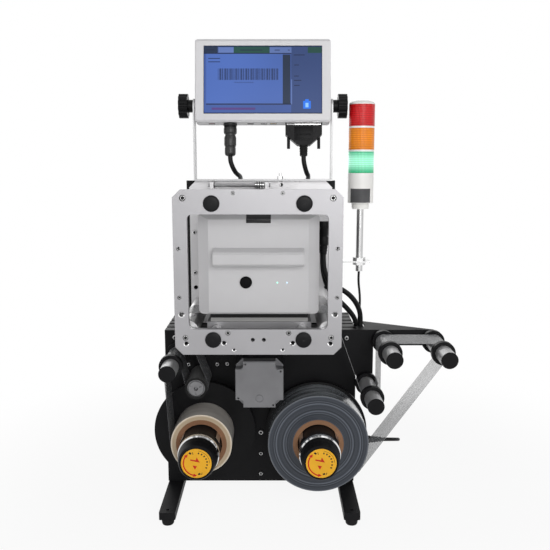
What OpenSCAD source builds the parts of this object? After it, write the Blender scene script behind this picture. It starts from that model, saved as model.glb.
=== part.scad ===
// Label rewinding machine: two reels on an upright panel, a film path over rollers,
// a print unit between two aluminium plates, a tilting touch screen and a signal tower.
// Millimetres. X runs to the right, Y to the rear, Z up from the floor.
// Sizes are counted from the panel's front face and the reels' middle plane.

/* [Stand] */
// Width of each foot bar
foot_w = 30; // [20:1:45]
// Thickness of each foot bar
foot_t = 14; // [8:1:20]
// Reach of the foot bars in front of the panel
foot_front = 130; // [100:1:170]
// Reach of the foot bars behind the panel face
foot_back = 180; // [165:1:240]
// Height of a rubber foot
pad_h = 13; // [8:1:20]
// Diameter of a rubber foot
pad_d = 24; // [16:1:29]

/* [Panel and enclosure] */
// Width of the upright panel
panel_w = 371; // [320:1:460]
// Height of the upright panel
panel_h = 310; // [270:1:380]
// Thickness of the upright panel
panel_t = 10; // [6:1:14]
// Depth of the enclosure behind the panel
box_d = 150; // [140:1:200]
// Sheet thickness of the enclosure
sheet_t = 2; // [1.5:0.5:4]
// Height of the grooved beam on the enclosure
beam_h = 30; // [24:1:40]
// Spacing of the beam's grooves
groove_pitch = 30; // [26:1:40]
// Mouth of each groove
groove_w = 8; // [6:1:12]

/* [Reels] */
// Distance between the two reel axes
reel_span = 216; // [200:1:270]
// Height of the reel axes above the foot bars
reel_h = 117; // [105:1:150]
// Diameter of the rear flange discs
flange_d = 195; // [186:1:212]
// Thickness of the rear flange discs
flange_t = 6; // [3:0.5:10]
// Gap between the panel and a flange disc
flange_gap = 22; // [12:1:40]
// Width of the film
film_w = 66; // [40:1:70]
// Thickness of the film web
film_t = 0.5; // [0.3:0.1:1]
// Bore of the cardboard cores
core_bore = 76.6; // [74:0.1:80]
// Wall of the cardboard cores
core_wall = 8.5; // [6:0.5:14]
// Diameter of the film wound on the left reel
unwind_d = 113; // [102:1:150]
// Diameter of the film wound on the right reel
rewind_d = 186; // [120:1:190]
// Diameter of the expanding spindles
spindle_d = 73; // [60:0.5:74]
// Length of the expanding spindles in front of the flange
spindle_len = 108; // [80:1:140]
// Length of the silver collar on a spindle
collar_len = 10; // [5:1:16]
// Length of the hand knob on a spindle
knob_len = 31; // [20:1:45]
// Diameter of the shaft behind a flange
shaft_d = 25; // [16:1:35]

/* [Film rollers] */
// Diameter of the guide rollers
roller_d = 30; // [24:1:36]
// Reach of the guide rollers in front of the panel
roller_reach = 150; // [125:1:170]
// Diameter of the guide rings
ring_d = 43; // [38:1:48]
// Width of the guide rings
ring_w = 10; // [6:1:16]
// Diameter of the fixed axles
axle_d = 10; // [6:1:12]
// Place of the left guide roller inside the panel's left edge
left_roller_in = 26; // [15:0.5:40]
// Place of the left guide roller above the foot bars
left_roller_h = 268; // [250:1:269]
// Place of the inner arm roller beyond the panel's right edge
inner_roller_out = 49.5; // [40:0.5:70]
// Place of the outer arm roller beyond the panel's right edge
outer_roller_out = 144.5; // [115:0.5:190]
// Place of the low arm roller beyond the panel's right edge
low_roller_out = 19; // [10:0.5:24]
// Place of the low arm roller below the arm rollers
low_roller_drop = 83.5; // [60:0.5:95]
// Place of the arm rollers below the arm's top
arm_roller_drop = 19.5; // [15:0.5:25]
// Height of the arm
arm_h = 31; // [26:1:40]
// Thickness of the arm plate
arm_t = 5; // [3:0.5:8]
// Depth of the arm's flange
arm_flange_d = 68; // [60:1:90]

/* [Feed drive] */
// Diameter of the feed roller's rubber
feed_d = 40; // [34:1:44]
// Place of the feed roller, left of the middle
feed_x = 114; // [108:1:120]
// Place of the feed roller above the foot bars
feed_h = 229; // [224:1:236]
// Reach of the feed roller in front of the panel
feed_reach = 110; // [95:1:140]
// Side of the square feed motor
motor_side = 86; // [57:1:90]
// Length of the feed motor
motor_len = 112; // [80:1:140]
// Height of the feed motor's axis above the foot bars
motor_h = 237; // [220:1:250]
// Pitch radius of the pulley on the motor
motor_pulley_r = 12; // [8:1:16]
// Pitch radius of the pulley on the feed roller
feed_pulley_r = 24; // [18:1:30]

/* [Print frame] */
// Side of the square frame plates
plate_side = 280; // [250:1:336]
// Step from the full height down to the front plate's top
front_drop = 3; // [0:0.5:6]
// Step from the full height up to the rear plate's top
rear_rise = 5; // [0:0.5:10]
// Thickness of the front plate
plate_t = 12; // [8:1:16]
// Thickness of the rear plate
rear_plate_t = 10; // [6:1:14]
// Place of the front plate's face in front of the panel
plate_front = 172; // [155:1:190]
// Place of the rear plate's face behind the panel face
plate_rear = 62; // [50:1:75]
// Corner chamfer of the plates
plate_chamfer = 13; // [4:1:20]
// Width of the front plate's window
window_w = 233; // [222:1:240]
// Height of the front plate's window
window_h = 193; // [182:1:200]
// Place of the window above the plate's lower edge
window_rise = 43.5; // [36:0.5:50]
// Diameter of the tie rods
rod_d = 20; // [14:1:24]
// Spacing of the tie rods across
rod_span = 152; // [140:1:165]
// Place of the tie rods inside the plates' upper and lower edges
rod_edge = 25.75; // [21:0.25:30]
// Diameter of the corner rollers
corner_d = 34; // [28:1:40]
// Spacing of the corner rollers
corner_span = 239; // [234:1:246]
// Height of the corner rollers above the plate's lower edge
corner_h = 38; // [34:1:44]
// Width of the platen
platen_w = 185; // [170:1:200]
// Thickness of the platen
platen_t = 13; // [10:1:16]

/* [Print unit] */
// Width of the cassette's cover
cover_w = 208; // [190:1:216]
// Height of the cassette's cover
cover_h = 173; // [150:1:174]
// Thickness of the cassette's cover
cover_t = 20; // [12:1:26]
// Depth of the bevels around the cover's face
cover_bevel = 9; // [5:1:11]
// Place of the cover's face in front of the panel
cover_front = 132; // [120:1:145]
// Gap between the film and the cover's lower edge
cover_gap = 5; // [3:0.5:9]
// Width of the handle
handle_w = 154; // [120:1:180]
// Reach of the handle
handle_reach = 20; // [12:1:28]
// Diameter of the release button
button_d = 20.6; // [14:0.1:26]
// Travel of the release button
button_travel = 3; // [1.5:0.5:5]
// Diameter of the full ribbon spool
ribbon_d = 56; // [40:1:60]

/* [Touch screen] */
// Width of the screen housing
screen_w = 258; // [230:1:290]
// Height of the screen housing
screen_h = 158; // [140:1:180]
// Depth of the screen housing
screen_d = 45; // [30:1:60]
// Tilt of the screen
screen_tilt = 10; // [0:1:20]
// Place of the tilt axis above the frame plates
tilt_rise = 147; // [135:1:170]
// Place of the tilt axis above the housing's lower edge
tilt_edge = 34; // [28:1:45]
// Side shift of the screen
screen_x = 5; // [0:1:10]
// Width of the bracket's strip
bracket_w = 28; // [20:1:36]
// Thickness of the bracket's strip
bracket_t = 3; // [2:0.5:5]
// Diameter of the screen's hand knobs
hand_d = 46; // [36:1:56]
// Length of a hand knob outside the bracket
hand_len = 27; // [20:1:36]

/* [Signal tower] */
// Diameter of the tower
tower_d = 50; // [40:1:60]
// Gap between the tower and what stands left of it
tower_gap = 5; // [4:1:30]
// Height of the tower's bracket above the panel
tower_rise = 126; // [100:1:160]
// Height of each coloured lens
lens_h = 41; // [30:1:50]
// Height of the tower's base
tower_base_h = 58; // [40:1:70]
// Length of the pole between bracket and base
pole_h = 104; // [80:1:140]
// Diameter of the pole
pole_d = 14; // [10:1:18]

/* [Leads] */
// Diameter of the print unit's leads
lead_d = 10; // [7:0.5:11]
// Diameter of the screen's leads
screen_lead_d = 9; // [7:0.5:10]
// Diameter of the tower's lead
tower_lead_d = 4.6; // [3:0.1:6]
// Diameter of the mains lead
cord_d = 7; // [6:0.1:7.2]

/* [Clearances] */
// Running clearance of a turning fit, on the radius
run_gap = 0.05; // [0.02:0.01:0.1]
// Clearance of a seated fit, on the radius
fit_gap = 0.15; // [0.1:0.05:0.25]
// Clearance between faces that pass one another
pass_gap = 0.3; // [0.25:0.05:0.5]

/* [Hidden] */
$fn = 64;
ink = [0.08, 0.08, 0.09];
silver = [0.78, 0.79, 0.80];
shell = [0.86, 0.87, 0.87];

stand_z = pad_h + foot_t;
panel_top = stand_z + panel_h;
foot_x = panel_w / 2 - foot_w / 2 - 1.5;
box_back = panel_t + box_d;
beam_z = panel_top - beam_h;
wall_x = panel_w / 2;

reel_x = reel_span / 2;
reel_z = stand_z + reel_h;
flange_y = -flange_gap - flange_t;
film_front = flange_y - film_w;
film_back = flange_y;
spindle_end = flange_y - spindle_len;
collar_end = spindle_end - collar_len;
knob_end = collar_end - knob_len;
core_d = core_bore + 2 * core_wall;
housing_len = 56;

left_roller_x = panel_w / 2 - left_roller_in;
inner_roller_x = panel_w / 2 + inner_roller_out;
outer_roller_x = panel_w / 2 + outer_roller_out;
low_roller_x = panel_w / 2 + low_roller_out;
arm_top = panel_top + 2;
arm_z = arm_top - arm_roller_drop;
low_z = arm_z - low_roller_drop;
left_z = stand_z + left_roller_h;
feed_z = stand_z + feed_h;
motor_z = stand_z + motor_h;
roller_back = -arm_t - 2;
roller_end = -roller_reach;
feed_back = flange_y - 1.5;
pulley_y = 52;
pulley_w = 10;

plate_z = panel_top;
plate_mid = plate_z + plate_side / 2;
plate_top = plate_z + plate_side;
rear_top = plate_top + rear_rise;
plate_inner = -plate_front + plate_t;
support_y = plate_rear + rear_plate_t;
support_t = 10;
support_back = support_y + support_t;
support_w = plate_side + 13;
rod_x = rod_span / 2;
rod_low = plate_z + rod_edge;
rod_high = plate_top - rod_edge;
window_z = plate_z + window_rise + window_h / 2;
rods = [[-rod_x, rod_low], [rod_x, rod_low], [-rod_x, rod_high], [rod_x, rod_high]];
corner_x = corner_span / 2;
corner_z = plate_z + corner_h;
corner_axle = 12;
film_level = corner_z + corner_d / 2 + pass_gap;
platen_z = rod_low + 2;

cover_low = film_level + film_t + cover_gap;
cover_back = -cover_front + cover_t;
cover_top = cover_low + cover_h;
cover_mid = cover_low + cover_h / 2;
body_w = cover_w - 8;
body_low = cover_low + 3;
body_high = cover_top - 3;
spool_x = 48;
spool_z = body_high - ribbon_d / 2 - 32;
button_x = -22;
button_z = cover_low + 56;
socket_x = [-40, 66];
lead_over_x = [-41, 94];
socket_z = plate_mid + 3;
rear_plug_end = support_back + 22;
lead_gap = 0.6;

tilt_y = plate_rear + 1;
tilt_z = plate_top + tilt_rise;
bracket_y = tilt_y - bracket_w / 2;
arm_in = screen_w / 2 + 2;
arm_out = arm_in + bracket_t;
bolt_x = [screen_x - 33, screen_x + 33];
bolt_y = plate_rear + rear_plate_t / 2;
plug_x = -63;
wide_plug_x = 78;
glass_w = screen_w - 33;
glass_h = screen_h - 28.5;
screen_low = -tilt_edge;
screen_mid = screen_low + screen_h / 2;
screen_face = -screen_d / 2 + 0.5;

tower_x = max(screen_x + arm_out + hand_len, support_w / 2) + tower_gap + tower_d / 2;
tower_y = plate_rear + 4;
tower_z = panel_top + tower_rise;
base_z = tower_z + pole_h;
neck_h = 12;
lens_low = base_z + neck_h + tower_base_h;
lens_step = lens_h + 3.6;

entry_y = [36, 50];
entry_x = wall_x + 11;
entry_top = arm_top - 6;
plug_high = cover_low + 151;
lead_x = body_w / 2 + 20;
inlet_y = 40;
inlet_z = stand_z + 71;

// Screws on both sides of the plates: x, z, face, head diameter, recess
plate_screws = [
  [plate_side / 2 - 17.5, rod_low + 3.5, -plate_front, 8.4, 5],
  [51, rod_low + 11.5, -plate_front, 7.4, 5],
  [plate_side / 2 - 8.5, plate_mid + 40, -plate_front, 5.6, 4],
  [plate_side / 2 - 8.5, plate_mid - 42, -plate_front, 5.6, 4],
  [40.5, plate_top - 9, -plate_front, 5.6, 4],
  [plate_side / 2 - 17, plate_top - 17, -plate_front, 9.6, 8.5],
  [plate_side / 2 - 8.5, plate_mid + 44, plate_rear, 7.4, 1],
  [plate_side / 2 - 8.5, plate_mid - 37, plate_rear, 7.4, 1],
];
// Screws on the panel and the arm plate: x, z, face, head diameter
panel_screws = [
  [0, stand_z + 103, 0, 9], [0, stand_z + 58.5, 0, 7.4], [0, stand_z + 16, 0, 7.4],
  [-65, stand_z + 243, 0, 7], [-84.5, stand_z + 242, 0, 7], [-140, stand_z + 242, 0, 7],
  [19.5 - panel_w / 2, stand_z + 296, 0, 8], [panel_w / 2 - 19.5, stand_z + 296, -arm_t, 8],
];
// Countersunk holes of the front plate: x, z, diameter
plate_holes = [
  [58, rod_low - 6, 6.6], [plate_side / 2 - 18.5, rod_low - 7, 6.6], [41, plate_z + 8, 4.2],
  [plate_side / 2 - 11.5, plate_mid - 71, 8],
];

// Film wheels in running order: x, z, radius, turn (1 is clockwise seen from the front)
wheels = [
  [-reel_x, reel_z, unwind_d / 2, 1],
  [-left_roller_x, left_z, roller_d / 2, 1],
  [-feed_x, feed_z, feed_d / 2, -1],
  [-corner_x, corner_z, corner_d / 2, 1],
  [corner_x, corner_z, corner_d / 2, 1],
  [low_roller_x, low_z, roller_d / 2, -1],
  [inner_roller_x, arm_z, roller_d / 2, 1],
  [outer_roller_x, arm_z, roller_d / 2, 1],
  [reel_x, reel_z, rewind_d / 2, 1],
];

// Middle of the box that holds the machine without its mains lead
mid_x = (outer_roller_x + ring_d / 2 - reel_x - flange_d / 2) / 2;
mid_y = (foot_back + knob_end) / 2;

// Puts the middle of the machine's box over the origin
module placed() {
  translate([-mid_x, -mid_y, 0])
    children();
}

// Outline in X and Z given depth t, from y to y + t
module upright(y, t) {
  translate([0, y + t, 0])
    rotate([90, 0, 0])
      linear_extrude(t)
        children();
}

// Outline in Y and Z given length along X, from x to x + len
module crosswise(x, len) {
  translate([x, 0, 0])
    rotate([90, 0, 90])
      linear_extrude(len)
        children();
}

// Outline of radius and forward distance, turned about a Y axis
module turned(x, y, z) {
  translate([x, y, z])
    rotate([90, 0, 0])
      rotate_extrude()
        children();
}

module rod_y(x, z, y0, y1, d) {
  translate([x, y1, z])
    rotate([90, 0, 0])
      cylinder(h = y1 - y0, d = d);
}

module rod_x(x0, x1, y, z, d) {
  translate([x0, y, z])
    rotate([0, 90, 0])
      cylinder(h = x1 - x0, d = d);
}

module block(x0, x1, y0, y1, z0, z1) {
  translate([x0, y0, z0])
    cube([x1 - x0, y1 - y0, z1 - z0]);
}

module soft_square(w, h, r) {
  square([w - 2 * r, h], center = true);
  square([w, h - 2 * r], center = true);
  for (sx = [-1, 1], sy = [-1, 1])
    translate([sx * (w / 2 - r), sy * (h / 2 - r)])
      circle(r);
}

module cut_square(w, h, c) {
  polygon([
    [-w / 2 + c, -h / 2], [w / 2 - c, -h / 2], [w / 2, -h / 2 + c], [w / 2, h / 2 - c],
    [w / 2 - c, h / 2], [-w / 2 + c, h / 2], [-w / 2, h / 2 - c], [-w / 2, -h / 2 + c],
  ]);
}

// Socket screw seen from the front: head of diameter d from y back to its seat, shank behind it
module socket_screw(x, z, y, d) {
  difference() {
    union() {
      turned(x, y + 0.6 * d, z)
        polygon([[0, 0], [d / 2, 0], [d / 2, 0.5 * d], [0.4 * d, 0.6 * d], [0, 0.6 * d]]);
      rod_y(x, z, y + 0.5 * d, y + 0.6 * d + 4, 0.6 * d);
    }
    translate([x, y + 0.3 * d, z])
      rotate([90, 0, 0])
        cylinder(h = d, d = 0.55 * d, $fn = 6);
  }
}

// Recess and shank hole of such a screw, with its face at y and its head sunk by its recess
module screw_seat(x, z, y, d, recess) {
  rod_y(x, z, y - 1, y + recess, d + 0.8);
  rod_y(x, z, y, y + recess + 4.5, 0.6 * d + 2 * fit_gap);
}

// Direction of the film's left side between wheels a and b
function side_angle(a, b) =
  let (
    dx = b[0] - a[0],
    dz = b[1] - a[1],
    ra = a[3] * (a[2] + pass_gap + film_t / 2),
    rb = b[3] * (b[2] + pass_gap + film_t / 2)
  )
  atan2(dz, dx) + 90 - asin((ra - rb) / norm([dx, dz]));

// Angles at which the film lies on wheel i
function wrap_angles(i, steps = 18) =
  i == 0 ? [side_angle(wheels[0], wheels[1])]
  : i == len(wheels) - 1 ? [side_angle(wheels[i - 1], wheels[i])]
  : let (
    first = side_angle(wheels[i - 1], wheels[i]),
    last = side_angle(wheels[i], wheels[i + 1]),
    raw = wheels[i][3] * (first - last),
    wrap = raw - 360 * floor(raw / 360)
  )
  [for (k = [0:steps]) first - wheels[i][3] * wrap * k / steps];

function film_side(i, offset) =
  let (w = wheels[i], r = w[3] * (w[2] + pass_gap + film_t / 2) + offset)
  [for (a = wrap_angles(i)) [w[0] + r * cos(a), w[1] + r * sin(a)]];

function reversed(list) = [for (i = [len(list) - 1:-1:0]) list[i]];
function film_edge(offset) = [for (i = [0:len(wheels) - 1]) each film_side(i, offset)];

// Points of a smooth curve that starts and ends at the route's ends and bends towards its points
function curve_point(a, b, c, d, t) =
  (pow(1 - t, 3) * a + (3 * pow(t, 3) - 6 * t * t + 4) * b
  + (1 + 3 * t + 3 * t * t - 3 * pow(t, 3)) * c + pow(t, 3) * d) / 6;
function smooth(route, steps) =
  let (n = len(route))
  [
    for (i = [0:n - 2], k = [0:steps - 1])
      let (
        before = i == 0 ? 2 * route[0] - route[1] : route[i - 1],
        after = i == n - 2 ? 2 * route[n - 1] - route[n - 2] : route[i + 2]
      )
      curve_point(before, route[i], route[i + 1], after, k / steps),
    route[n - 1],
  ];

function unit(v) = v / norm(v);
function heading(path, i) =
  i == 0 ? unit(path[1] - path[0])
  : i == len(path) - 1 ? unit(path[i] - path[i - 1])
  : unit(path[i + 1] - path[i - 1]);

// Side directions carried along the path without twist
function carried(path, i = 0, side = [0, 0, 0]) =
  i == len(path) ? []
  : let (
    h = heading(path, i),
    seed = i > 0 ? side : abs(h[2]) < 0.9 ? [0, 0, 1] : [1, 0, 0],
    s = unit(seed - h * (seed * h))
  )
  concat([s], carried(path, i + 1, s));

// Round tube along a path, one ring of points at each of its points
module tube(path, d, sides = 8) {
  side = carried(path);
  n = len(path);
  rings = [
    for (i = [0:n - 1], k = [0:sides - 1])
      let (h = heading(path, i), s = side[i], c = cross(h, s), a = 360 * k / sides)
      path[i] + d / 2 * (s * cos(a) + c * sin(a)),
  ];
  walls = [
    for (i = [0:n - 2], k = [0:sides - 1])
      let (a = i * sides + k, b = i * sides + (k + 1) % sides)
      [a, a + sides, b + sides, b],
  ];
  first = [for (k = [0:sides - 1]) k];
  last = [for (k = [sides - 1:-1:0]) (n - 1) * sides + k];
  polyhedron(points = rings, faces = concat(walls, [first, last]), convexity = 6);
}

module foot_bars() {
  color(ink)
    placed()
      for (s = [-1, 1])
        difference() {
          translate([s * foot_x, (foot_back - foot_front) / 2, pad_h])
            linear_extrude(foot_t)
              soft_square(foot_w, foot_front + foot_back, 3);
          for (y = [pad_d / 2 - foot_front, foot_back - pad_d / 2])
            translate([s * foot_x, y, pad_h - 1])
              cylinder(h = foot_t + 2, d = 6 + 2 * fit_gap);
        }
}

module rubber_feet() {
  color([0.12, 0.12, 0.12])
    placed()
      for (s = [-1, 1], y = [pad_d / 2 - foot_front, foot_back - pad_d / 2])
        translate([s * foot_x, y, 0])
          rotate_extrude()
            polygon([
              [0, 0], [pad_d / 2 - 4, 0], [pad_d / 2 - 2, 1], [pad_d / 2 - 1, 3],
              [pad_d / 2, pad_h - 2], [pad_d / 2 - 0.6, pad_h], [3, pad_h],
              [3, stand_z - 2], [0, stand_z - 2],
            ]);
}

module main_panel() {
  color(ink)
    placed()
      difference() {
        upright(0, panel_t)
          difference() {
            translate([-panel_w / 2, stand_z])
              square([panel_w, panel_h]);
            for (s = [-1, 1])
              translate([s * reel_x, reel_z])
                circle(d = shaft_d + 6);
            translate([-feed_x, feed_z])
              circle(d = 20);
            translate([0, motor_z])
              circle(d = 40);
            translate([-left_roller_x, left_z])
              circle(d = axle_d + 2 * fit_gap);
          }
        for (p = panel_screws)
          screw_seat(p[0], p[1], p[2], p[3], 1);
      }
}

// Plate on the panel's right margin, arm to the outer roller, flange along its top
module roller_arm() {
  color(ink)
    placed() {
      difference() {
        upright(-arm_t, arm_t) {
          polygon([
            [panel_w / 2 - 27, arm_top], [panel_w / 2 - 27, arm_top - 14],
            [panel_w / 2 + 1.5, low_z + 8], [panel_w / 2 + 5, low_z - 14],
            [low_roller_x + 13.5, low_z - 14], [low_roller_x + 13.5, arm_top],
          ]);
          translate([panel_w / 2, arm_top - arm_h])
            square([outer_roller_x - panel_w / 2, arm_h]);
          translate([outer_roller_x, arm_top - arm_h / 2])
            circle(d = arm_h);
        }
        for (p = [[inner_roller_x, arm_z], [outer_roller_x, arm_z], [low_roller_x, low_z]])
          rod_y(p[0], p[1], -arm_t - 1, 1, axle_d + 2 * fit_gap);
        for (p = panel_screws)
          if (p[2] < 0)
            screw_seat(p[0], p[1], p[2], p[3], 1);
      }
      translate([0, 0, arm_top - 4])
        linear_extrude(4)
          difference() {
            polygon([
              [panel_w / 2 + 0.5, 0], [outer_roller_x, 0],
              [panel_w / 2 + 22, arm_flange_d], [panel_w / 2 + 0.5, arm_flange_d],
            ]);
            translate([panel_w / 2, entry_y[0] - 14])
              square([20, arm_flange_d - entry_y[0] + 11]);
          }
    }
}

module vent_row(z) {
  for (x = [-110:22:110])
    translate([x, z])
      soft_square(12, 3, 1.4);
}

// Folded sheet box, open at the front, with vents, mains inlet and lead entry box
module enclosure() {
  color(ink)
    placed() {
      difference() {
        block(-wall_x, wall_x, panel_t, box_back, stand_z, beam_z);
        block(-wall_x + sheet_t, wall_x - sheet_t, panel_t - 1, box_back - sheet_t,
          stand_z + sheet_t, beam_z - sheet_t);
        upright(box_back - sheet_t - 1, sheet_t + 2)
          for (k = [0:8])
            vent_row(stand_z + 60 + 14 * k);
        crosswise(wall_x - sheet_t - 1, sheet_t + 2)
          translate([inlet_y, inlet_z])
            soft_square(20, 15, 2);
      }
      difference() {
        block(wall_x, wall_x + 20, entry_y[0] - 10, entry_y[1] + 14, entry_top - 46, entry_top);
        block(wall_x - 1, wall_x + 18, entry_y[0] - 8, entry_y[1] + 12, entry_top - 44, entry_top - 3);
      }
    }
}

// Extruded beam with T grooves along its top
module top_beam() {
  count = floor(box_d / groove_pitch);
  color(ink)
    placed()
      crosswise(-panel_w / 2, panel_w)
        difference() {
          translate([panel_t, beam_z])
            square([box_d, beam_h]);
          for (k = [0:count - 1])
            translate([panel_t + groove_pitch * (k + 0.5), panel_top]) {
              translate([-groove_w / 2, -4])
                square([groove_w, 5]);
              translate([-groove_w, -10])
                square([2 * groove_w, 7]);
              translate([-5, -beam_h + 5])
                square([10, 8]);
            }
        }
}

// Reel axle, flange disc, spindle body with three keys and a silver collar
module spindle(x) {
  key_w = 12;
  difference() {
    union() {
      rod_y(x, reel_z, flange_y, -flange_gap, flange_d);
      rod_y(x, reel_z, -flange_gap, -flange_gap + 10, 60);
      rod_y(x, reel_z, -flange_gap + 9, panel_t + housing_len - 4, shaft_d);
      rod_y(x, reel_z, spindle_end, flange_y + 1, spindle_d);
    }
    for (a = [90, 210, 330])
      translate([x, 0, reel_z])
        rotate([0, a, 0])
          block(spindle_d / 2 - 7, spindle_d / 2 + 2, spindle_end + 14, flange_y - 6,
            -key_w / 2 - fit_gap, key_w / 2 + fit_gap);
    rod_y(x, reel_z, spindle_end - 1, spindle_end + 40, 12 + 2 * run_gap);
  }
  for (a = [90, 210, 330])
    translate([x, 0, reel_z])
      rotate([0, a, 0])
        intersection() {
          block(spindle_d / 2 - 6.8, core_bore, spindle_end + 14 + fit_gap, flange_y - 6 - fit_gap,
            -key_w / 2, key_w / 2);
          rod_y(0, 0, spindle_end, flange_y, core_bore - 0.3);
        }
  turned(x, spindle_end, reel_z)
    polygon([
      [6 + 0.3, 0], [spindle_d / 2 + 0.6, 0], [spindle_d / 2 + 0.6, collar_len - 3],
      [spindle_d / 2 - 1.4, collar_len], [6 + 0.3, collar_len],
    ]);
}

module core(x) {
  difference() {
    rod_y(x, reel_z, film_front, film_back, core_d);
    rod_y(x, reel_z, film_front - 1, film_back + 1, core_bore);
  }
}

module wound(x, d) {
  inner = core_d / 2 + fit_gap;
  edge = min(0.6, (d / 2 - inner) / 2);
  turned(x, film_back, reel_z)
    polygon([
      [inner, 0], [d / 2, 0], [d / 2, film_w - edge], [d / 2 - edge, film_w], [inner, film_w],
    ]);
}

module spindle_knob(x) {
  turned(x, collar_end, reel_z)
    polygon([
      [0, -36], [5, -36], [6, -35], [6, pass_gap], [spindle_d / 2 - 1.5, pass_gap],
      [spindle_d / 2 - 1, 4], [spindle_d / 2 - 2, 14], [spindle_d / 2 - 4, knob_len - 6],
      [spindle_d / 2 - 5, knob_len - 2.5], [spindle_d / 2 - 7, knob_len],
      [spindle_d / 2 - 8.5, knob_len], [spindle_d / 2 - 8.5, knob_len - 1], [0, knob_len - 1],
    ]);
}

module unwind_spindle() {
  color(ink)
    placed()
      spindle(-reel_x);
}

module unwind_core() {
  color([0.62, 0.47, 0.32])
    placed()
      core(-reel_x);
}

module unwind_roll() {
  color([0.86, 0.84, 0.80])
    placed()
      wound(-reel_x, unwind_d);
}

module unwind_knob() {
  color(ink)
    placed()
      spindle_knob(-reel_x);
}

module rewind_spindle() {
  color(ink)
    placed()
      spindle(reel_x);
}

module rewind_core() {
  color([0.62, 0.47, 0.32])
    placed()
      core(reel_x);
}

module rewind_roll() {
  color([0.45, 0.48, 0.54])
    placed()
      wound(reel_x, rewind_d);
}

module rewind_knob() {
  color(ink)
    placed()
      spindle_knob(reel_x);
}

module film_web() {
  color([0.75, 0.78, 0.80])
    placed()
      upright(film_front, film_w)
        polygon(concat(film_edge(film_t / 2), reversed(film_edge(-film_t / 2))));
}

// Guide roller with two guide rings and an end cap
module ringed_roller(x, z) {
  difference() {
    rod_y(x, z, roller_end + 3, roller_back, roller_d);
    rod_y(x, z, roller_end + 2, roller_back + 1, axle_d + 2 * run_gap);
  }
  for (y = [film_back + 5, film_front - 1 - ring_w])
    difference() {
      rod_y(x, z, y, y + ring_w, ring_d);
      rod_y(x, z, y - 1, y + ring_w + 1, roller_d + 2 * fit_gap);
      rod_x(x + roller_d / 2, x + ring_d, y + ring_w / 2, z, 4);
    }
  turned(x, roller_end + 3, z)
    polygon([[0, 0], [roller_d / 2, 0], [roller_d / 2, 2], [roller_d / 2 - 1, 3], [0, 3]]);
}

module left_roller() {
  color(silver)
    placed()
      ringed_roller(-left_roller_x, left_z);
}

module inner_roller() {
  color(silver)
    placed()
      ringed_roller(inner_roller_x, arm_z);
}

module outer_roller() {
  color(silver)
    placed()
      ringed_roller(outer_roller_x, arm_z);
}

module low_roller() {
  color(silver)
    placed()
      ringed_roller(low_roller_x, low_z);
}

module corner_roller(x) {
  difference() {
    turned(x, plate_rear - 2, corner_z)
      polygon([
        [0, 0], [corner_d / 2 - 1.5, 0], [corner_d / 2, 1.5],
        [corner_d / 2, plate_rear - plate_inner - 5.5],
        [corner_d / 2 - 1.5, plate_rear - plate_inner - 4], [0, plate_rear - plate_inner - 4],
      ]);
    rod_y(x, corner_z, plate_inner, plate_rear, corner_axle + 2 * run_gap);
  }
}

module left_corner_roller() {
  color(silver)
    placed()
      corner_roller(-corner_x);
}

module right_corner_roller() {
  color(silver)
    placed()
      corner_roller(corner_x);
}

// Fixed axles of the guide and corner rollers, with a washer behind each plate
module roller_axles() {
  color(silver)
    placed() {
      rod_y(-left_roller_x, left_z, roller_end + 4, panel_t, axle_d);
      rod_y(-left_roller_x, left_z, panel_t, panel_t + 7, 18);
      for (p = [[inner_roller_x, arm_z], [outer_roller_x, arm_z], [low_roller_x, low_z]]) {
        rod_y(p[0], p[1], roller_end + 4, 0, axle_d);
        rod_y(p[0], p[1], 0, 7, 18);
      }
      for (s = [-1, 1])
        rod_y(s * corner_x, corner_z, plate_inner - 6, plate_rear + 6, corner_axle);
    }
}

// Driven shaft through the panel with a stepped end and the large pulley
module feed_roller() {
  color(silver)
    placed() {
      difference() {
        turned(-feed_x, pulley_y + pulley_w + 4, feed_z)
          let (f = pulley_y + pulley_w + 4)
          polygon([
            [0, 0], [6, 0], [6, f - feed_back], [feed_d / 2 - 4, f - feed_back],
            [feed_d / 2 - 4, f + feed_reach - 4], [feed_d / 2 - 6, f + feed_reach - 4],
            [feed_d / 2 - 6, f + feed_reach - 1], [feed_d / 2 - 7, f + feed_reach],
            [0, f + feed_reach],
          ]);
        rod_y(-feed_x, feed_z, -feed_reach - 1, -feed_reach + 10, 8);
        for (a = [90, 210, 330])
          translate([-feed_x, -feed_reach, feed_z])
            rotate([0, a, 0])
              block(6.5, feed_d / 2 - 8, -1, 2, -1.2, 1.2);
      }
      difference() {
        rod_y(-feed_x, feed_z, pulley_y, pulley_y + pulley_w, 2 * feed_pulley_r - 1.5);
        rod_y(-feed_x, feed_z, pulley_y - 1, pulley_y + pulley_w + 1, 12 + 2 * fit_gap);
      }
    }
}

module feed_rubber() {
  color([0.13, 0.13, 0.13])
    placed()
      difference() {
        rod_y(-feed_x, feed_z, -feed_reach + 0.5, feed_back - 1, feed_d);
        rod_y(-feed_x, feed_z, -feed_reach - 1, 0, feed_d - 8 + 2 * fit_gap);
      }
}

module motor_outline(side, notch) {
  difference() {
    soft_square(side, side, 3);
    for (sx = [-1, 1], sz = [-1, 1])
      translate([sx * side / 2, sz * side / 2])
        soft_square(2 * notch, 2 * notch, notch / 3);
  }
}

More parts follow.
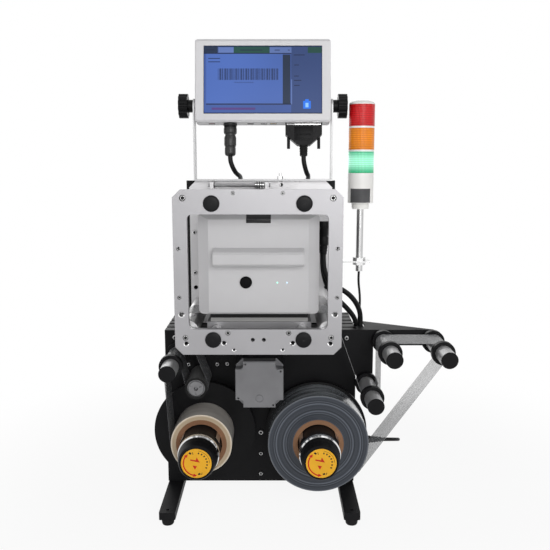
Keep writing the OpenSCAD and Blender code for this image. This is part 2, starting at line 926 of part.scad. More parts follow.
// Stepping motor: end cap with hollow corners, dark stack, front bell and lead box
module feed_motor() {
  cap_t = 22;
  far = motor_side / 2 - 5;
  near = motor_side / 2 - 18;
  color([0.30, 0.31, 0.32])
    placed() {
      difference() {
        union() {
          upright(-motor_len, 3)
            translate([0, motor_z])
              motor_outline(motor_side - 2, 13.6);
          upright(-motor_len + 2, cap_t - 2)
            translate([0, motor_z])
              motor_outline(motor_side, 14);
        }
        for (p = [[-near, far], [far, near], [near, -far], [-far, -near]])
          rod_y(p[0], motor_z + p[1], -motor_len - 1, -motor_len + 6, 4);
        difference() {
          rod_y(0, motor_z - near, -motor_len - 1, -motor_len + 1.2, 15);
          rod_y(0, motor_z - near, -motor_len - 2, -motor_len + 2, 11.5);
        }
      }
      upright(-motor_len + cap_t, motor_len - cap_t - 24)
        translate([0, motor_z])
          cut_square(motor_side, motor_side, 12);
      difference() {
        union() {
          upright(-24, 24)
            translate([0, motor_z])
              motor_outline(motor_side, 11);
          rod_y(0, motor_z, 0, panel_t - 1, 40 - 2 * fit_gap);
        }
        rod_y(0, motor_z, -24.5, panel_t, 14 + 2 * run_gap);
      }
      upright(-motor_len + cap_t + 12, 22)
        polygon([
          [-14, motor_z - motor_side / 2], [14, motor_z - motor_side / 2],
          [14, motor_z - motor_side / 2 - 6], [10, motor_z - motor_side / 2 - 12],
          [-10, motor_z - motor_side / 2 - 12], [-14, motor_z - motor_side / 2 - 6],
        ]);
    }
}

module motor_pulley() {
  color(silver)
    placed() {
      rod_y(0, motor_z, -23.5, pulley_y + pulley_w + 4, 14);
      difference() {
        rod_y(0, motor_z, pulley_y, pulley_y + pulley_w, 2 * motor_pulley_r - 1.5);
        rod_y(0, motor_z, pulley_y - 1, pulley_y + pulley_w + 1, 14 + 2 * fit_gap);
      }
    }
}

// Outline around the two pulleys, spread by a distance
module belt_outline(spread) {
  a = [-feed_x, feed_z];
  b = [0, motor_z];
  ra = feed_pulley_r + spread;
  rb = motor_pulley_r + spread;
  lean = asin((ra - rb) / norm(b - a));
  way = atan2(b[1] - a[1], b[0] - a[0]);
  up = way + 90 - lean;
  down = way - 90 + lean;
  translate(a)
    circle(ra);
  translate(b)
    circle(rb);
  polygon([
    a + ra * [cos(up), sin(up)], b + rb * [cos(up), sin(up)],
    b + rb * [cos(down), sin(down)], a + ra * [cos(down), sin(down)],
  ]);
}

module feed_belt() {
  color([0.13, 0.13, 0.13])
    placed()
      upright(pulley_y + 1, pulley_w - 2)
        difference() {
          belt_outline(1.4);
          belt_outline(-0.75 + pass_gap);
        }
}

// Flanged housings on the panel's back for both reel shafts and the feed roller
module bearing_housings() {
  color(silver)
    placed() {
      for (s = [-1, 1])
        difference() {
          union() {
            rod_y(s * reel_x, reel_z, panel_t, panel_t + 8, 76);
            rod_y(s * reel_x, reel_z, panel_t + 7, panel_t + housing_len, 54);
          }
          rod_y(s * reel_x, reel_z, panel_t - 1, panel_t + housing_len + 1, shaft_d + 2 * run_gap);
        }
      difference() {
        union() {
          rod_y(-feed_x, feed_z, panel_t, panel_t + 6, 44);
          rod_y(-feed_x, feed_z, panel_t + 5, pulley_y - 4, 30);
        }
        rod_y(-feed_x, feed_z, panel_t - 1, pulley_y, 12 + 2 * run_gap);
      }
    }
}

// Motor behind the right reel and brake behind the left one
module reel_drives() {
  y0 = panel_t + housing_len;
  color([0.25, 0.25, 0.27])
    placed() {
      rod_y(reel_x, reel_z, y0, y0 + 54, 78);
      upright(y0 + 54, 12)
        translate([reel_x, reel_z])
          soft_square(64, 64, 8);
      difference() {
        union() {
          rod_y(-reel_x, reel_z, y0, y0 + 12, 86);
          rod_y(-reel_x, reel_z, y0 + 11, y0 + 38, 74);
        }
        for (a = [0:60:300])
          rod_y(-reel_x + 30 * cos(a), reel_z + 30 * sin(a), y0 + 32, y0 + 40, 6);
      }
    }
}

// Screws of both frame plates and of the panel, bolts of the screen's bracket
module frame_screws() {
  color(silver)
    placed() {
      for (s = [-1, 1], p = plate_screws)
        socket_screw(s * p[0], p[1], p[2] + p[4] - 0.6 * p[3], p[3]);
      for (p = panel_screws)
        socket_screw(p[0], p[1], p[2] + 1 - 0.6 * p[3], p[3]);
      for (k = [0, 1])
        translate([bolt_x[k], bolt_y, rear_top - 10]) {
          cylinder(h = (k == 0 ? 10 : 22) + bracket_t, d = 5);
          if (k == 1)
            translate([0, 0, 10 + bracket_t])
              cylinder(h = 5.5, d = 11, $fn = 6);
        }
    }
}

// Front plate: wide window, tie rod holes, axle holes, screw recesses and accessory holes
module front_plate() {
  color(silver)
    placed()
      difference() {
        upright(-plate_front, plate_t)
          difference() {
            translate([0, plate_mid - front_drop / 2])
              cut_square(plate_side, plate_side - front_drop, plate_chamfer);
            translate([0, window_z])
              soft_square(window_w, window_h, 8);
            for (p = rods)
              translate(p)
                circle(d = 12 + 2 * fit_gap);
            for (s = [-1, 1], p = concat(plate_holes, [[9.3, rod_low, 6.6]]))
              translate([s * p[0], p[1]])
                circle(d = p[2]);
          }
        for (s = [-1, 1]) {
          rod_y(s * corner_x, corner_z, plate_inner - 6.5, plate_inner + 1, corner_axle + 2 * fit_gap);
          for (p = plate_holes)
            turned(s * p[0], -plate_front + 1.2, p[1])
              polygon([[0, 0], [p[2] / 2, 0], [p[2] / 2 + 1.2, 1.2], [p[2] / 2 + 1.2, 2], [0, 2]]);
          for (p = plate_screws)
            if (p[2] < 0)
              screw_seat(s * p[0], p[1], p[2], p[3], p[4]);
        }
      }
}

// Rear plate with lead openings and two lugs for the adjusting screw
module rear_plate() {
  color(silver)
    placed() {
      difference() {
        upright(plate_rear, rear_plate_t)
          difference() {
            translate([0, plate_mid + rear_rise / 2])
              cut_square(plate_side, plate_side + rear_rise, plate_chamfer);
            for (x = socket_x)
              translate([x, socket_z])
                circle(d = 40);
            for (p = rods)
              translate(p)
                circle(d = 12 + 2 * fit_gap);
            translate([40, rear_top - 8])
              circle(d = 7);
            for (s = [-1, 1])
              translate([s * 130.5, plate_mid - 67])
                circle(d = 8);
          }
        for (s = [-1, 1]) {
          rod_y(s * corner_x, corner_z, plate_rear - 1, plate_rear + 6.5, corner_axle + 2 * fit_gap);
          for (p = plate_screws)
            if (p[2] > 0)
              screw_seat(s * p[0], p[1], p[2], p[3], p[4]);
        }
        for (x = bolt_x)
          translate([x, bolt_y, rear_top - 11])
            cylinder(h = 12, d = 5 + 2 * fit_gap);
      }
      for (x = [-97, 9])
        difference() {
          block(x, x + 7, plate_rear - 30, plate_rear, rear_top - 15, rear_top - 2);
          rod_x(x - 1, x + 8, plate_rear - 23, rear_top - 8, 6 + 2 * run_gap);
        }
    }
}

// Black plate behind the rear plate, standing on the beam, with a foot and ribs
module support_plate() {
  color(ink)
    placed() {
      upright(support_y, support_t)
        difference() {
          translate([-support_w / 2, plate_z])
            square([support_w, plate_side + rear_rise]);
          for (x = socket_x)
            translate([x, socket_z])
              circle(d = 44);
        }
      block(-support_w / 2, support_w / 2, support_back - 1, support_back + 44, plate_z, plate_z + 8);
      for (x = [-support_w / 2, -4, support_w / 2 - 8])
        crosswise(x, 8)
          polygon([
            [support_back - 1, plate_z + 7], [support_back + 40, plate_z + 7],
            [support_back + 40, plate_z + 14], [support_back + 10, plate_z + 90],
            [support_back - 1, plate_z + 90],
          ]);
    }
}

module tie_rods() {
  color(silver)
    placed()
      for (p = rods) {
        rod_y(p[0], p[1], plate_inner, plate_rear, rod_d);
        rod_y(p[0], p[1], plate_inner - 8, plate_inner + 1, 12);
        rod_y(p[0], p[1], plate_rear - 1, plate_rear + rear_plate_t - 1, 12);
      }
}

module rod_caps() {
  color(ink)
    placed()
      for (p = rods)
        turned(p[0], -plate_front, p[1])
          polygon([[0, 0], [13.5, 0], [13.5, 2], [12.8, 3.4], [11, 4.3], [7, 4.8], [0, 5]]);
}

// Flat platen that saddles the two lower tie rods
module platen() {
  color(silver)
    placed()
      difference() {
        union() {
          block(-platen_w / 2, platen_w / 2, film_front - 8, film_back + 8, platen_z,
            platen_z + platen_t);
          for (s = [-1, 1])
            block(s * rod_x - 17, s * rod_x + 17, film_front - 8, film_back + 8, rod_low - 1,
              platen_z + 1);
        }
        for (s = [-1, 1])
          rod_y(s * rod_x, rod_low, film_front - 9, film_back + 9, rod_d + 2 * fit_gap);
      }
}

module platen_pad() {
  color([0.14, 0.14, 0.14])
    placed()
      block(-platen_w / 2 + 6, platen_w / 2 - 6, film_front - 4, film_back + 4, platen_z + platen_t,
        film_level - pass_gap);
}

// Casing of the print unit, open at the front, with a slot for the head and two sockets
module printer_body() {
  color(shell)
    placed() {
      difference() {
        block(-body_w / 2, body_w / 2, cover_back + pass_gap, plate_rear, body_low, body_high);
        block(-body_w / 2 + 3, body_w / 2 - 3, cover_back, plate_rear - 12, body_low + 3, body_high - 3);
        block(-24, 24, film_front - 12, plate_rear - 24, body_low - 1, body_low + 4);
      }
      block(body_w / 2 - 1, body_w / 2 + 32, -12, 34, cover_low + 151, cover_low + 159);
    }
}

// Print head with cooling fins on a carrier from the casing's back wall
module print_head() {
  color([0.30, 0.31, 0.33])
    placed()
      difference() {
        union() {
          upright(film_front - 2, film_w + 4)
            polygon([
              [-16, body_low + 30], [-16, body_low + 4], [-6, film_level + film_t + 1.2],
              [6, film_level + film_t + 1.2], [16, body_low + 4], [16, body_low + 30],
            ]);
          block(-12, 12, film_back, plate_rear - 12, body_low + 8, body_low + 28);
        }
        for (k = [-2:2])
          block(k * 6 - 1.5, k * 6 + 1.5, film_front - 3, film_back + 3, body_low + 16, body_low + 31);
      }
}

// Pull-out cassette: cover with a ledge handle, two spool posts and two guide posts
module cassette() {
  color(shell)
    placed() {
      difference() {
        union() {
          intersection() {
            upright(-cover_front, cover_t)
              translate([0, cover_mid])
                soft_square(cover_w, cover_h, 7);
            crosswise(-cover_w, 2 * cover_w)
              polygon([
                [cover_back, cover_low], [cover_back, cover_top],
                [-cover_front + cover_bevel, cover_top], [-cover_front, cover_top - cover_bevel],
                [-cover_front, cover_low + 3], [-cover_front + 3, cover_low],
              ]);
            linear_extrude(2 * cover_top)
              polygon([
                [-cover_w / 2, cover_back], [-cover_w / 2, -cover_front + cover_bevel],
                [-cover_w / 2 + 2 * cover_bevel, -cover_front],
                [cover_w / 2 - 2 * cover_bevel, -cover_front],
                [cover_w / 2, -cover_front + cover_bevel], [cover_w / 2, cover_back],
              ]);
          }
          crosswise(-handle_w / 2, handle_w)
            polygon([
              [-cover_front + 1, cover_low + 116], [-cover_front - 6, cover_low + 114],
              [-cover_front - handle_reach + 3, cover_low + 110],
              [-cover_front - handle_reach, cover_low + 106],
              [-cover_front - handle_reach, cover_low + 90],
              [-cover_front - handle_reach + 4, cover_low + 86],
              [-cover_front - handle_reach + 8, cover_low + 92],
              [-cover_front - 6, cover_low + 94], [-cover_front + 1, cover_low + 94],
            ]);
        }
        upright(-cover_front + cover_bevel, cover_t)
          translate([0, cover_mid])
            soft_square(cover_w - 12, cover_h - 12, 5);
        rod_y(button_x, button_z, -cover_front - 1, cover_back, button_d + 2 * pass_gap);
      }
      for (s = [-1, 1]) {
        rod_y(s * spool_x, spool_z, -cover_front + 5, film_back + 2, 12);
        rod_y(s * 62, body_low + 22, -cover_front + 5, film_back + 2, 10);
      }
    }
}

module spool(x, d) {
  difference() {
    union() {
      rod_y(x, spool_z, film_front, film_back, d);
      rod_y(x, spool_z, film_front - 4, film_back + 1, 26);
    }
    rod_y(x, spool_z, film_front - 5, film_back + 2, 12 + 2 * run_gap);
  }
}

module supply_spool() {
  color([0.12, 0.12, 0.14])
    placed()
      spool(-spool_x, ribbon_d);
}

module takeup_spool() {
  color([0.12, 0.12, 0.14])
    placed()
      spool(spool_x, ribbon_d * 0.7);
}

module release_button() {
  color([0.10, 0.10, 0.10])
    placed()
      turned(button_x, -cover_front + 14, button_z)
        polygon([
          [0, 0], [button_d / 2 + 3, 0], [button_d / 2 + 3, 14 - cover_bevel - pass_gap],
          [button_d / 2, 14 - cover_bevel - pass_gap], [button_d / 2, 13 + button_travel],
          [button_d / 2 - 1, 14 + button_travel], [0, 14.5 + button_travel],
        ]);
}

// Screw with a knurled collar at the top of the rear plate
module adjusting_screw() {
  color(silver)
    placed() {
      rod_x(-100, 19, plate_rear - 23, rear_top - 8, 6);
      crosswise(-10.5, 17)
        translate([plate_rear - 23, rear_top - 8])
          difference() {
            circle(d = 14);
            circle(d = 5.5);
            for (a = [0:20:340])
              rotate(a)
                translate([7.4, 0])
                  circle(d = 1.6);
          }
    }
}

// U bracket folded from a flat strip, with a pivot hole in each arm
module screen_bracket() {
  color([0.70, 0.71, 0.72])
    placed() {
      difference() {
        block(screen_x - arm_out, screen_x + arm_out, bracket_y, bracket_y + bracket_w, rear_top,
          rear_top + bracket_t);
        for (x = bolt_x)
          translate([x, bolt_y, rear_top - 1])
            cylinder(h = bracket_t + 2, d = 5 + 2 * fit_gap);
      }
      for (x = [screen_x - arm_out, screen_x + arm_in])
        crosswise(x, bracket_t)
          difference() {
            union() {
              translate([bracket_y, rear_top + bracket_t - 1])
                square([bracket_w, tilt_z - rear_top - bracket_t + 1]);
              translate([tilt_y, tilt_z])
                circle(d = bracket_w);
            }
            translate([tilt_y, tilt_z])
              circle(d = 8 + 2 * pass_gap);
          }
    }
}

// Puts a piece drawn around the tilt axis in its place on the machine
module on_tilt() {
  translate([screen_x, tilt_y, tilt_z])
    rotate([-screen_tilt, 0, 0])
      children();
}

module screen_housing() {
  color(shell)
    placed()
      on_tilt()
        difference() {
          union() {
            upright(screen_face + 3, screen_d - 13)
              translate([0, screen_mid])
                soft_square(screen_w, screen_h, 6);
            upright(screen_face, 3.5)
              translate([0, screen_mid])
                soft_square(screen_w - 4, screen_h - 4, 4);
            upright(screen_face + screen_d - 10.5, 10.5)
              translate([0, screen_mid])
                soft_square(screen_w - 16, screen_h - 14, 6);
            for (s = [-1, 1])
              rod_x(s * screen_w / 2 - (s < 0 ? 1.7 : 1), s * screen_w / 2 + (s < 0 ? 1 : 1.7), 0, 0, 22);
          }
          crosswise(-screen_w, 2 * screen_w)
            polygon([
              [screen_face - 1, screen_low + screen_h - 7], [screen_face + 7, screen_low + screen_h + 1],
              [screen_face - 1, screen_low + screen_h + 1],
            ]);
          upright(screen_face - 1, 4)
            translate([0, screen_mid])
              square([glass_w, glass_h], center = true);
          for (s = [-1, 1])
            rod_x(s > 0 ? screen_w / 2 - 14 : -screen_w / 2 - 3,
              s > 0 ? screen_w / 2 + 3 : 14 - screen_w / 2, 0, 0, 8 + 2 * fit_gap);
          for (k = [-3:3])
            block(-80, 80, screen_face + screen_d - 3, screen_face + screen_d + 1,
              screen_mid + 8 * k - 1.5, screen_mid + 8 * k + 1.5);
          for (x = [-98, -24, 2, 20])
            block(x - 6, x + 6, -4, 4, screen_low - 1, screen_low + 5);
        }
}

module screen_glass() {
  color([0.10, 0.14, 0.25])
    placed()
      on_tilt()
        upright(screen_face + 0.4, 2.6)
          translate([0, screen_mid])
            square([glass_w - 2 * fit_gap, glass_h - 2 * fit_gap], center = true);
}

// Fluted knob with a hub and a stud through the bracket into the housing
module hand_knob() {
  rod_x(-12, 11, 0, 0, 8);
  rod_x(bracket_t, bracket_t + 11, 0, 0, 24);
  crosswise(bracket_t + 10, hand_len - 10)
    difference() {
      circle(d = hand_d);
      for (a = [0:30:330])
        rotate(a)
          translate([hand_d / 2 + 2, 0])
            circle(d = 8);
    }
}

module left_hand_knob() {
  color(ink)
    placed()
      translate([screen_x - arm_in, tilt_y, tilt_z])
        mirror([1, 0, 0])
          hand_knob();
}

module right_hand_knob() {
  color(ink)
    placed()
      translate([screen_x + arm_in, tilt_y, tilt_z])
        hand_knob();
}

// Round plug and wide plug under the screen housing
module screen_plugs() {
  color(ink)
    placed()
      on_tilt() {
        translate([plug_x, 0, screen_low])
          rotate([180, 0, 0])
            rotate_extrude()
              polygon([
                [0, 0], [12, 0], [12, 11], [9.7, 12], [9.7, 44], [8, 48],
                [6.5, 62], [0, 62],
              ]);
        upright(-7.5, 15)
          polygon([
            [wide_plug_x - 35, screen_low], [wide_plug_x + 35, screen_low],
            [wide_plug_x + 35, screen_low - 22], [wide_plug_x + 12, screen_low - 42],
            [wide_plug_x - 12, screen_low - 42], [wide_plug_x - 35, screen_low - 22],
          ]);
        translate([wide_plug_x, 0, screen_low - 62])
          cylinder(h = 21, d = 14);
        for (s = [-1, 1])
          translate([wide_plug_x + s * 29, 0, screen_low - 48])
            cylinder(h = 30, d = 6);
      }
}

// Point on the machine of a point drawn around the tilt axis
function from_tilt(p) =
  [
    screen_x + p[0],
    tilt_y + p[1] * cos(screen_tilt) + p[2] * sin(screen_tilt),
    tilt_z - p[1] * sin(screen_tilt) + p[2] * cos(screen_tilt),
  ];

// Route of a screen lead from its plug over the plates, and in a loop to the casing's back
function screen_route(x, over_x, end_x) =
  let (
    a = from_tilt([x, 0, screen_low - 62 - lead_gap]),
    b = from_tilt([x, 0, screen_low - 72]),
    dx = over_x - a[0]
  )
  [
    a,
    b,
    [a[0] + 0.3 * dx, support_back - 35.5, rear_top + 24],
    [a[0] + 0.6 * dx, support_back - 27, rear_top + 14.5],
    [a[0] + 0.85 * dx, support_back - 17, rear_top + 11],
    [over_x, support_back + 2, rear_top + 8],
    [over_x, support_back + 16, rear_top + 3],
    [over_x, support_back + 25.5, rear_top - 14.5],
    [over_x, support_back + 27, rear_top - 36],
    [(over_x + end_x) / 2, support_back + 42, socket_z + 82],
    [end_x, support_back + 60, socket_z + 60],
    [end_x, support_back + 68, socket_z + 36],
    [end_x, support_back + 62, socket_z + 12],
    [end_x, support_back + 46, socket_z],
    [end_x, rear_plug_end + 10, socket_z],
    [end_x, rear_plug_end + lead_gap, socket_z],
  ];

module screen_leads() {
  color([0.10, 0.10, 0.10])
    placed() {
      tube(smooth(screen_route(plug_x, lead_over_x[0], socket_x[0]), 2), screen_lead_d);
      tube(smooth(screen_route(wide_plug_x, lead_over_x[1], socket_x[1]), 2), screen_lead_d);
    }
}

module hex_nut(z, h, d) {
  translate([tower_x, tower_y, z])
    difference() {
      cylinder(h = h, d = d, $fn = 6);
      translate([0, 0, -1])
        cylinder(h = h + 2, d = pole_d + 2 * fit_gap);
    }
}

// Angle bracket on the support plate's edge, pole and its two nuts
module tower_mount() {
  edge = support_w / 2;
  color(silver)
    placed() {
      difference() {
        union() {
          block(edge, tower_x + 20, tower_y - 16, support_back, tower_z - 1.5, tower_z + 1.5);
          block(edge, edge + 3, support_y, support_back, tower_z - 30, tower_z + 1);
        }
        translate([tower_x, tower_y, tower_z - 5])
          cylinder(h = 10, d = pole_d + 2 * fit_gap);
      }
      translate([tower_x, tower_y, tower_z - 20])
        cylinder(h = pole_h + 20 + neck_h - 2, d = pole_d);
      hex_nut(tower_z + 1.5, 6, 25);
      hex_nut(tower_z - 7.5, 6, 25);
    }
}

module tower_body() {
  color([0.90, 0.90, 0.89])
    placed()
      translate([tower_x, tower_y, 0]) {
        difference() {
          translate([0, 0, base_z])
            rotate_extrude()
              polygon([
                [0, 0], [tower_d / 2 - 8.5, 0], [tower_d / 2 - 7.5, neck_h], [tower_d / 2, neck_h],
                [tower_d / 2, neck_h + tower_base_h], [6, neck_h + tower_base_h],
                [6, neck_h + tower_base_h + 3 * lens_step - 4],
                [0, neck_h + tower_base_h + 3 * lens_step - 4],
              ]);
          translate([0, 0, base_z - 1])
            cylinder(h = neck_h, d = pole_d + 2 * fit_gap);
        }
        for (k = [1, 2])
          translate([0, 0, lens_low + k * lens_step - 3.6])
            difference() {
              cylinder(h = 3.6, d = tower_d);
              translate([0, 0, -1])
                cylinder(h = 6, d = 12 + 2 * fit_gap);
            }
        translate([0, 0, lens_low + 3 * lens_step - 3.6])
          rotate_extrude()
            polygon([
              [0, 0], [tower_d / 2, 0], [tower_d / 2, 2], [tower_d / 2 - 4, 5],
              [tower_d / 2 - 11, 6.8], [0, 7.5],
            ]);
      }
}

// Ribbed cylinder wall of one lens
module lens(k) {
  translate([tower_x, tower_y, lens_low + k * lens_step])
    difference() {
      cylinder(h = lens_h, d = tower_d);
      translate([0, 0, -1])
        cylinder(h = lens_h + 2, d = tower_d - 6);
    }
}

module green_lens() {
  color([0.10, 0.75, 0.35])
    placed()
      lens(0);
}

module amber_lens() {
  color([0.95, 0.62, 0.10])
    placed()
      lens(1);
}

module red_lens() {
  color([0.85, 0.12, 0.10])
    placed()
      lens(2);
}

// Routes of the print unit's leads from their hanging plugs to the entry box
print_routes = [
  [
    [lead_x, 0, plug_high - 64],
    [lead_x, 0, plug_high - 80],
    [lead_x + 3, 3, plug_high - 102],
    [lead_x + 16, 9, plug_high - 124],
    [lead_x + 38, 18, plug_high - 134],
    [entry_x - 16, 26, plug_high - 152],
    [entry_x - 2, 32, plug_high - 176],
    [entry_x + 1, entry_y[0], entry_top + 22],
    [entry_x + 1, entry_y[0], entry_top + lead_gap],
  ],
  [
    [lead_x, 22, plug_high - 64],
    [lead_x, 22, plug_high - 82],
    [lead_x + 2, 24, plug_high - 106],
    [lead_x + 10, 29, plug_high - 131],
    [lead_x + 24, 36, plug_high - 152],
    [lead_x + 42, 43, plug_high - 168],
    [entry_x - 18, 48, plug_high - 186],
    [entry_x - 8, entry_y[1], entry_top + 15],
    [entry_x - 5, entry_y[1], entry_top + 2 * lead_gap],
  ],
];

// Two print unit leads with hanging plugs, the screen leads' rear plugs and the tower's lead
module machine_leads() {
  color([0.10, 0.10, 0.10])
    placed() {
      for (k = [0, 1]) {
        tube(smooth(print_routes[k], 3), lead_d);
        translate([lead_x, k == 0 ? 0 : 22, plug_high - 64])
          rotate_extrude()
            polygon([
              [lead_d / 2 + 0.3, 0], [lead_d / 2 + 1.5, 2], [9, 20], [9, 48], [9.8, 50],
              [9.8, 64], [0, 64], [0, 6], [lead_d / 2 + 0.3, 6],
            ]);
      }
      for (x = socket_x) {
        rod_y(x, socket_z, plate_rear, support_back + 12, 26);
        rod_y(x, socket_z, support_back + 11, rear_plug_end, 15);
      }
      tube(smooth([
        [tower_x, tower_y, tower_z - 20 - lead_gap],
        [tower_x - 1, tower_y, tower_z - 44],
        [entry_x + 4, tower_y - 2, entry_top + 54],
        [entry_x, entry_y[1] + 10, entry_top + 14],
        [entry_x, entry_y[1] + 10, entry_top + lead_gap],
      ], 4), tower_lead_d);
    }
}

// Mains lead: from the connector round the right side to the floor, then a coil and a plug
cord_out = wall_x + 47;
coil_turns = 5;
coil_r = 40;
coil_step = cord_d + 0.8;
coil_x = 90;
coil_y = box_back + 96;
coil_low = cord_d / 2 + 0.5;
coil_path = [
  for (k = [0:24 * coil_turns])
    let (a = -90 - 15 * k)
    [coil_x + coil_r * cos(a), coil_y + coil_r * sin(a), coil_low + coil_step * k / 24],
];
coil_gap = min([
  for (i = [0:len(coil_path) - 14], j = [i + 13:len(coil_path) - 1])
    norm(coil_path[i] - coil_path[j]),
]) - cord_d;
echo(coil_gap = coil_gap);

lead_route = [
  [cord_out + lead_gap, inlet_y, inlet_z],
  [cord_out + 14, inlet_y, inlet_z],
  [cord_out + 34, inlet_y + 2, inlet_z - 1],
  [cord_out + 52, inlet_y + 16, inlet_z - 7],
  [cord_out + 56, inlet_y + 42, inlet_z - 18],
  [cord_out + 42, inlet_y + 70, inlet_z - 30],
  [cord_out + 14, inlet_y + 98, inlet_z - 42],
  [cord_out - 24, inlet_y + 130, inlet_z - 60],
  [coil_x + 84, coil_y - coil_r - 17, coil_low + 13],
  [coil_x + 54, coil_y - coil_r - 1, coil_low + 1],
  [coil_x + 28, coil_y - coil_r, coil_low],
  coil_path[0] + [lead_gap, 0, 0],
];
coil_end = coil_path[len(coil_path) - 1];
tail_drop = coil_end[2] - 11;
tail_route = [
  coil_end - [lead_gap, 0, 0],
  coil_end + [-22, 0.5, 0],
  coil_end + [-64, 9, -0.45 * tail_drop],
  coil_end + [-106, 21, -0.95 * tail_drop],
  coil_end + [-140, 23, -tail_drop],
];
tail_end = tail_route[len(tail_route) - 1] - [lead_gap, 0, 0];

module mains_lead() {
  color([0.11, 0.11, 0.11])
    placed() {
      tube(smooth(lead_route, 3), cord_d);
      tube(smooth(tail_route, 3), cord_d);
    }
}

module lead_coil() {
  color([0.11, 0.11, 0.11])
    placed()
      tube(coil_path, cord_d);
}

// Moulded connector at the machine and plug at the lead's other end
module lead_plugs() {
  color([0.11, 0.11, 0.11])
    placed() {
      crosswise(wall_x, 33)
        translate([inlet_y, inlet_z])
          soft_square(28, 21, 4);
      rod_x(wall_x - 12, wall_x + 1, inlet_y, inlet_z, 13);
      for (k = [0:2])
        rod_x(wall_x + 34 + 4.6 * k, wall_x + 37 + 4.6 * k, inlet_y, inlet_z, 14 - k);
      rod_x(wall_x + 32, cord_out, inlet_y, inlet_z, 10);
      crosswise(tail_end[0] - 34, 26)
        translate([tail_end[1], tail_end[2]])
          soft_square(25, 21, 5);
      rod_x(tail_end[0] - 9, tail_end[0], tail_end[1], tail_end[2], 12);
      for (s = [-1, 1])
        rod_x(tail_end[0] - 53, tail_end[0] - 33, tail_end[1] + s * 6, tail_end[2], 4.6);
    }
}

foot_bars();
rubber_feet();
main_panel();
roller_arm();
enclosure();
top_beam();
unwind_spindle();
unwind_core();
unwind_roll();
unwind_knob();
rewind_spindle();
rewind_core();
rewind_roll();
rewind_knob();
film_web();
left_roller();
inner_roller();
outer_roller();
low_roller();
left_corner_roller();
right_corner_roller();
roller_axles();
feed_roller();
feed_rubber();
feed_motor();
motor_pulley();
feed_belt();
bearing_housings();
reel_drives();
frame_screws();
front_plate();
rear_plate();
support_plate();
tie_rods();
rod_caps();
platen();
platen_pad();
printer_body();
print_head();
cassette();
supply_spool();
takeup_spool();
release_button();
adjusting_screw();
screen_bracket();
screen_housing();
screen_glass();
left_hand_knob();
right_hand_knob();
screen_plugs();
screen_leads();
tower_mount();
tower_body();
green_lens();
amber_lens();
red_lens();
machine_leads();
mains_lead();
lead_coil();
lead_plugs();
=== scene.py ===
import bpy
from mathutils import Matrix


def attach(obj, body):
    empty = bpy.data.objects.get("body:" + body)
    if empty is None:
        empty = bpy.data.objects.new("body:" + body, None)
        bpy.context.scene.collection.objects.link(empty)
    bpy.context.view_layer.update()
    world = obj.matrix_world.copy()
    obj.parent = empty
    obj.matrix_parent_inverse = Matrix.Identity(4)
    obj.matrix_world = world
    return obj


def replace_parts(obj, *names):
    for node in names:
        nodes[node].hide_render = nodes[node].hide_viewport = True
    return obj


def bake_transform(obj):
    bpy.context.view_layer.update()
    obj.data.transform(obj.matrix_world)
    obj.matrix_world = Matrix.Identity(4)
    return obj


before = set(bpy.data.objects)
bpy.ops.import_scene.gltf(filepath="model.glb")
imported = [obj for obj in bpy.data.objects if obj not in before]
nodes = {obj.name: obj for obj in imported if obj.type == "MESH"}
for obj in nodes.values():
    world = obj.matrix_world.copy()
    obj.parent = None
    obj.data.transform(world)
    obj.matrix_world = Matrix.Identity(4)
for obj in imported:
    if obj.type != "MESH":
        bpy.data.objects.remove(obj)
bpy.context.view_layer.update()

from math import cos, pi, radians, sin

import bmesh
import bpy
from mathutils import Matrix, Vector

scene = bpy.context.scene
toFrame = Vector((-0.073, -0.0015, 0.0))  # panel face and reel middle, seen from the frame's origin


def mm(x, y, z):  # millimetres counted from the panel's front face, as metres in the frame
    return Vector((x, y, z)) / 1000 + toFrame


def backToMm(point):
    return (Vector(point) - toFrame) * 1000


# helpers for node trees
def feed(tree, value, socket):  # a link where the value comes from a node, otherwise a fixed value
    if isinstance(value, bpy.types.NodeSocket):
        tree.links.new(value, socket)
    else:
        socket.default_value = value


def setInputs(tree, node, values):
    for name, value in values.items():
        feed(tree, value, node.inputs[name])


def freshMaterial(name):
    mat = bpy.data.materials.new(name)
    mat.use_nodes = True
    tree = mat.node_tree
    coords = tree.nodes.new("ShaderNodeTexCoord")
    return mat, tree, tree.nodes["Principled BSDF"], coords.outputs["Object"]


def mathOf(tree, operation, *values, clamp=False):
    node = tree.nodes.new("ShaderNodeMath")
    node.operation = operation
    node.use_clamp = clamp
    for value, socket in zip(values, node.inputs):
        feed(tree, value, socket)
    return node.outputs[0]


def distanceOf(tree, vector):
    node = tree.nodes.new("ShaderNodeVectorMath")
    node.operation = "LENGTH"
    tree.links.new(vector, node.inputs[0])
    return node.outputs["Value"]


def rangeOf(tree, value, low, high, start=0.3, end=0.7, way="LINEAR"):  # start becomes low and end becomes high
    node = tree.nodes.new("ShaderNodeMapRange")
    node.interpolation_type = way
    setInputs(tree, node, {"Value": value, "From Min": start, "From Max": end, "To Min": low, "To Max": high})
    return node.outputs["Result"]


def mixOf(tree, factor, first, second, blend="MIX"):  # two colours
    mix = tree.nodes.new("ShaderNodeMix")
    mix.data_type = "RGBA"
    mix.blend_type = blend
    for value, socket in ((factor, mix.inputs["Factor"]), (first, mix.inputs[6]), (second, mix.inputs[7])):
        feed(tree, value, socket)
    return mix.outputs[2]


def mixShaders(tree, share, first, second):
    mix = tree.nodes.new("ShaderNodeMixShader")
    for value, socket in zip((share, first.outputs[0], second.outputs[0]), mix.inputs):
        tree.links.new(value, socket)
    return mix.outputs[0]


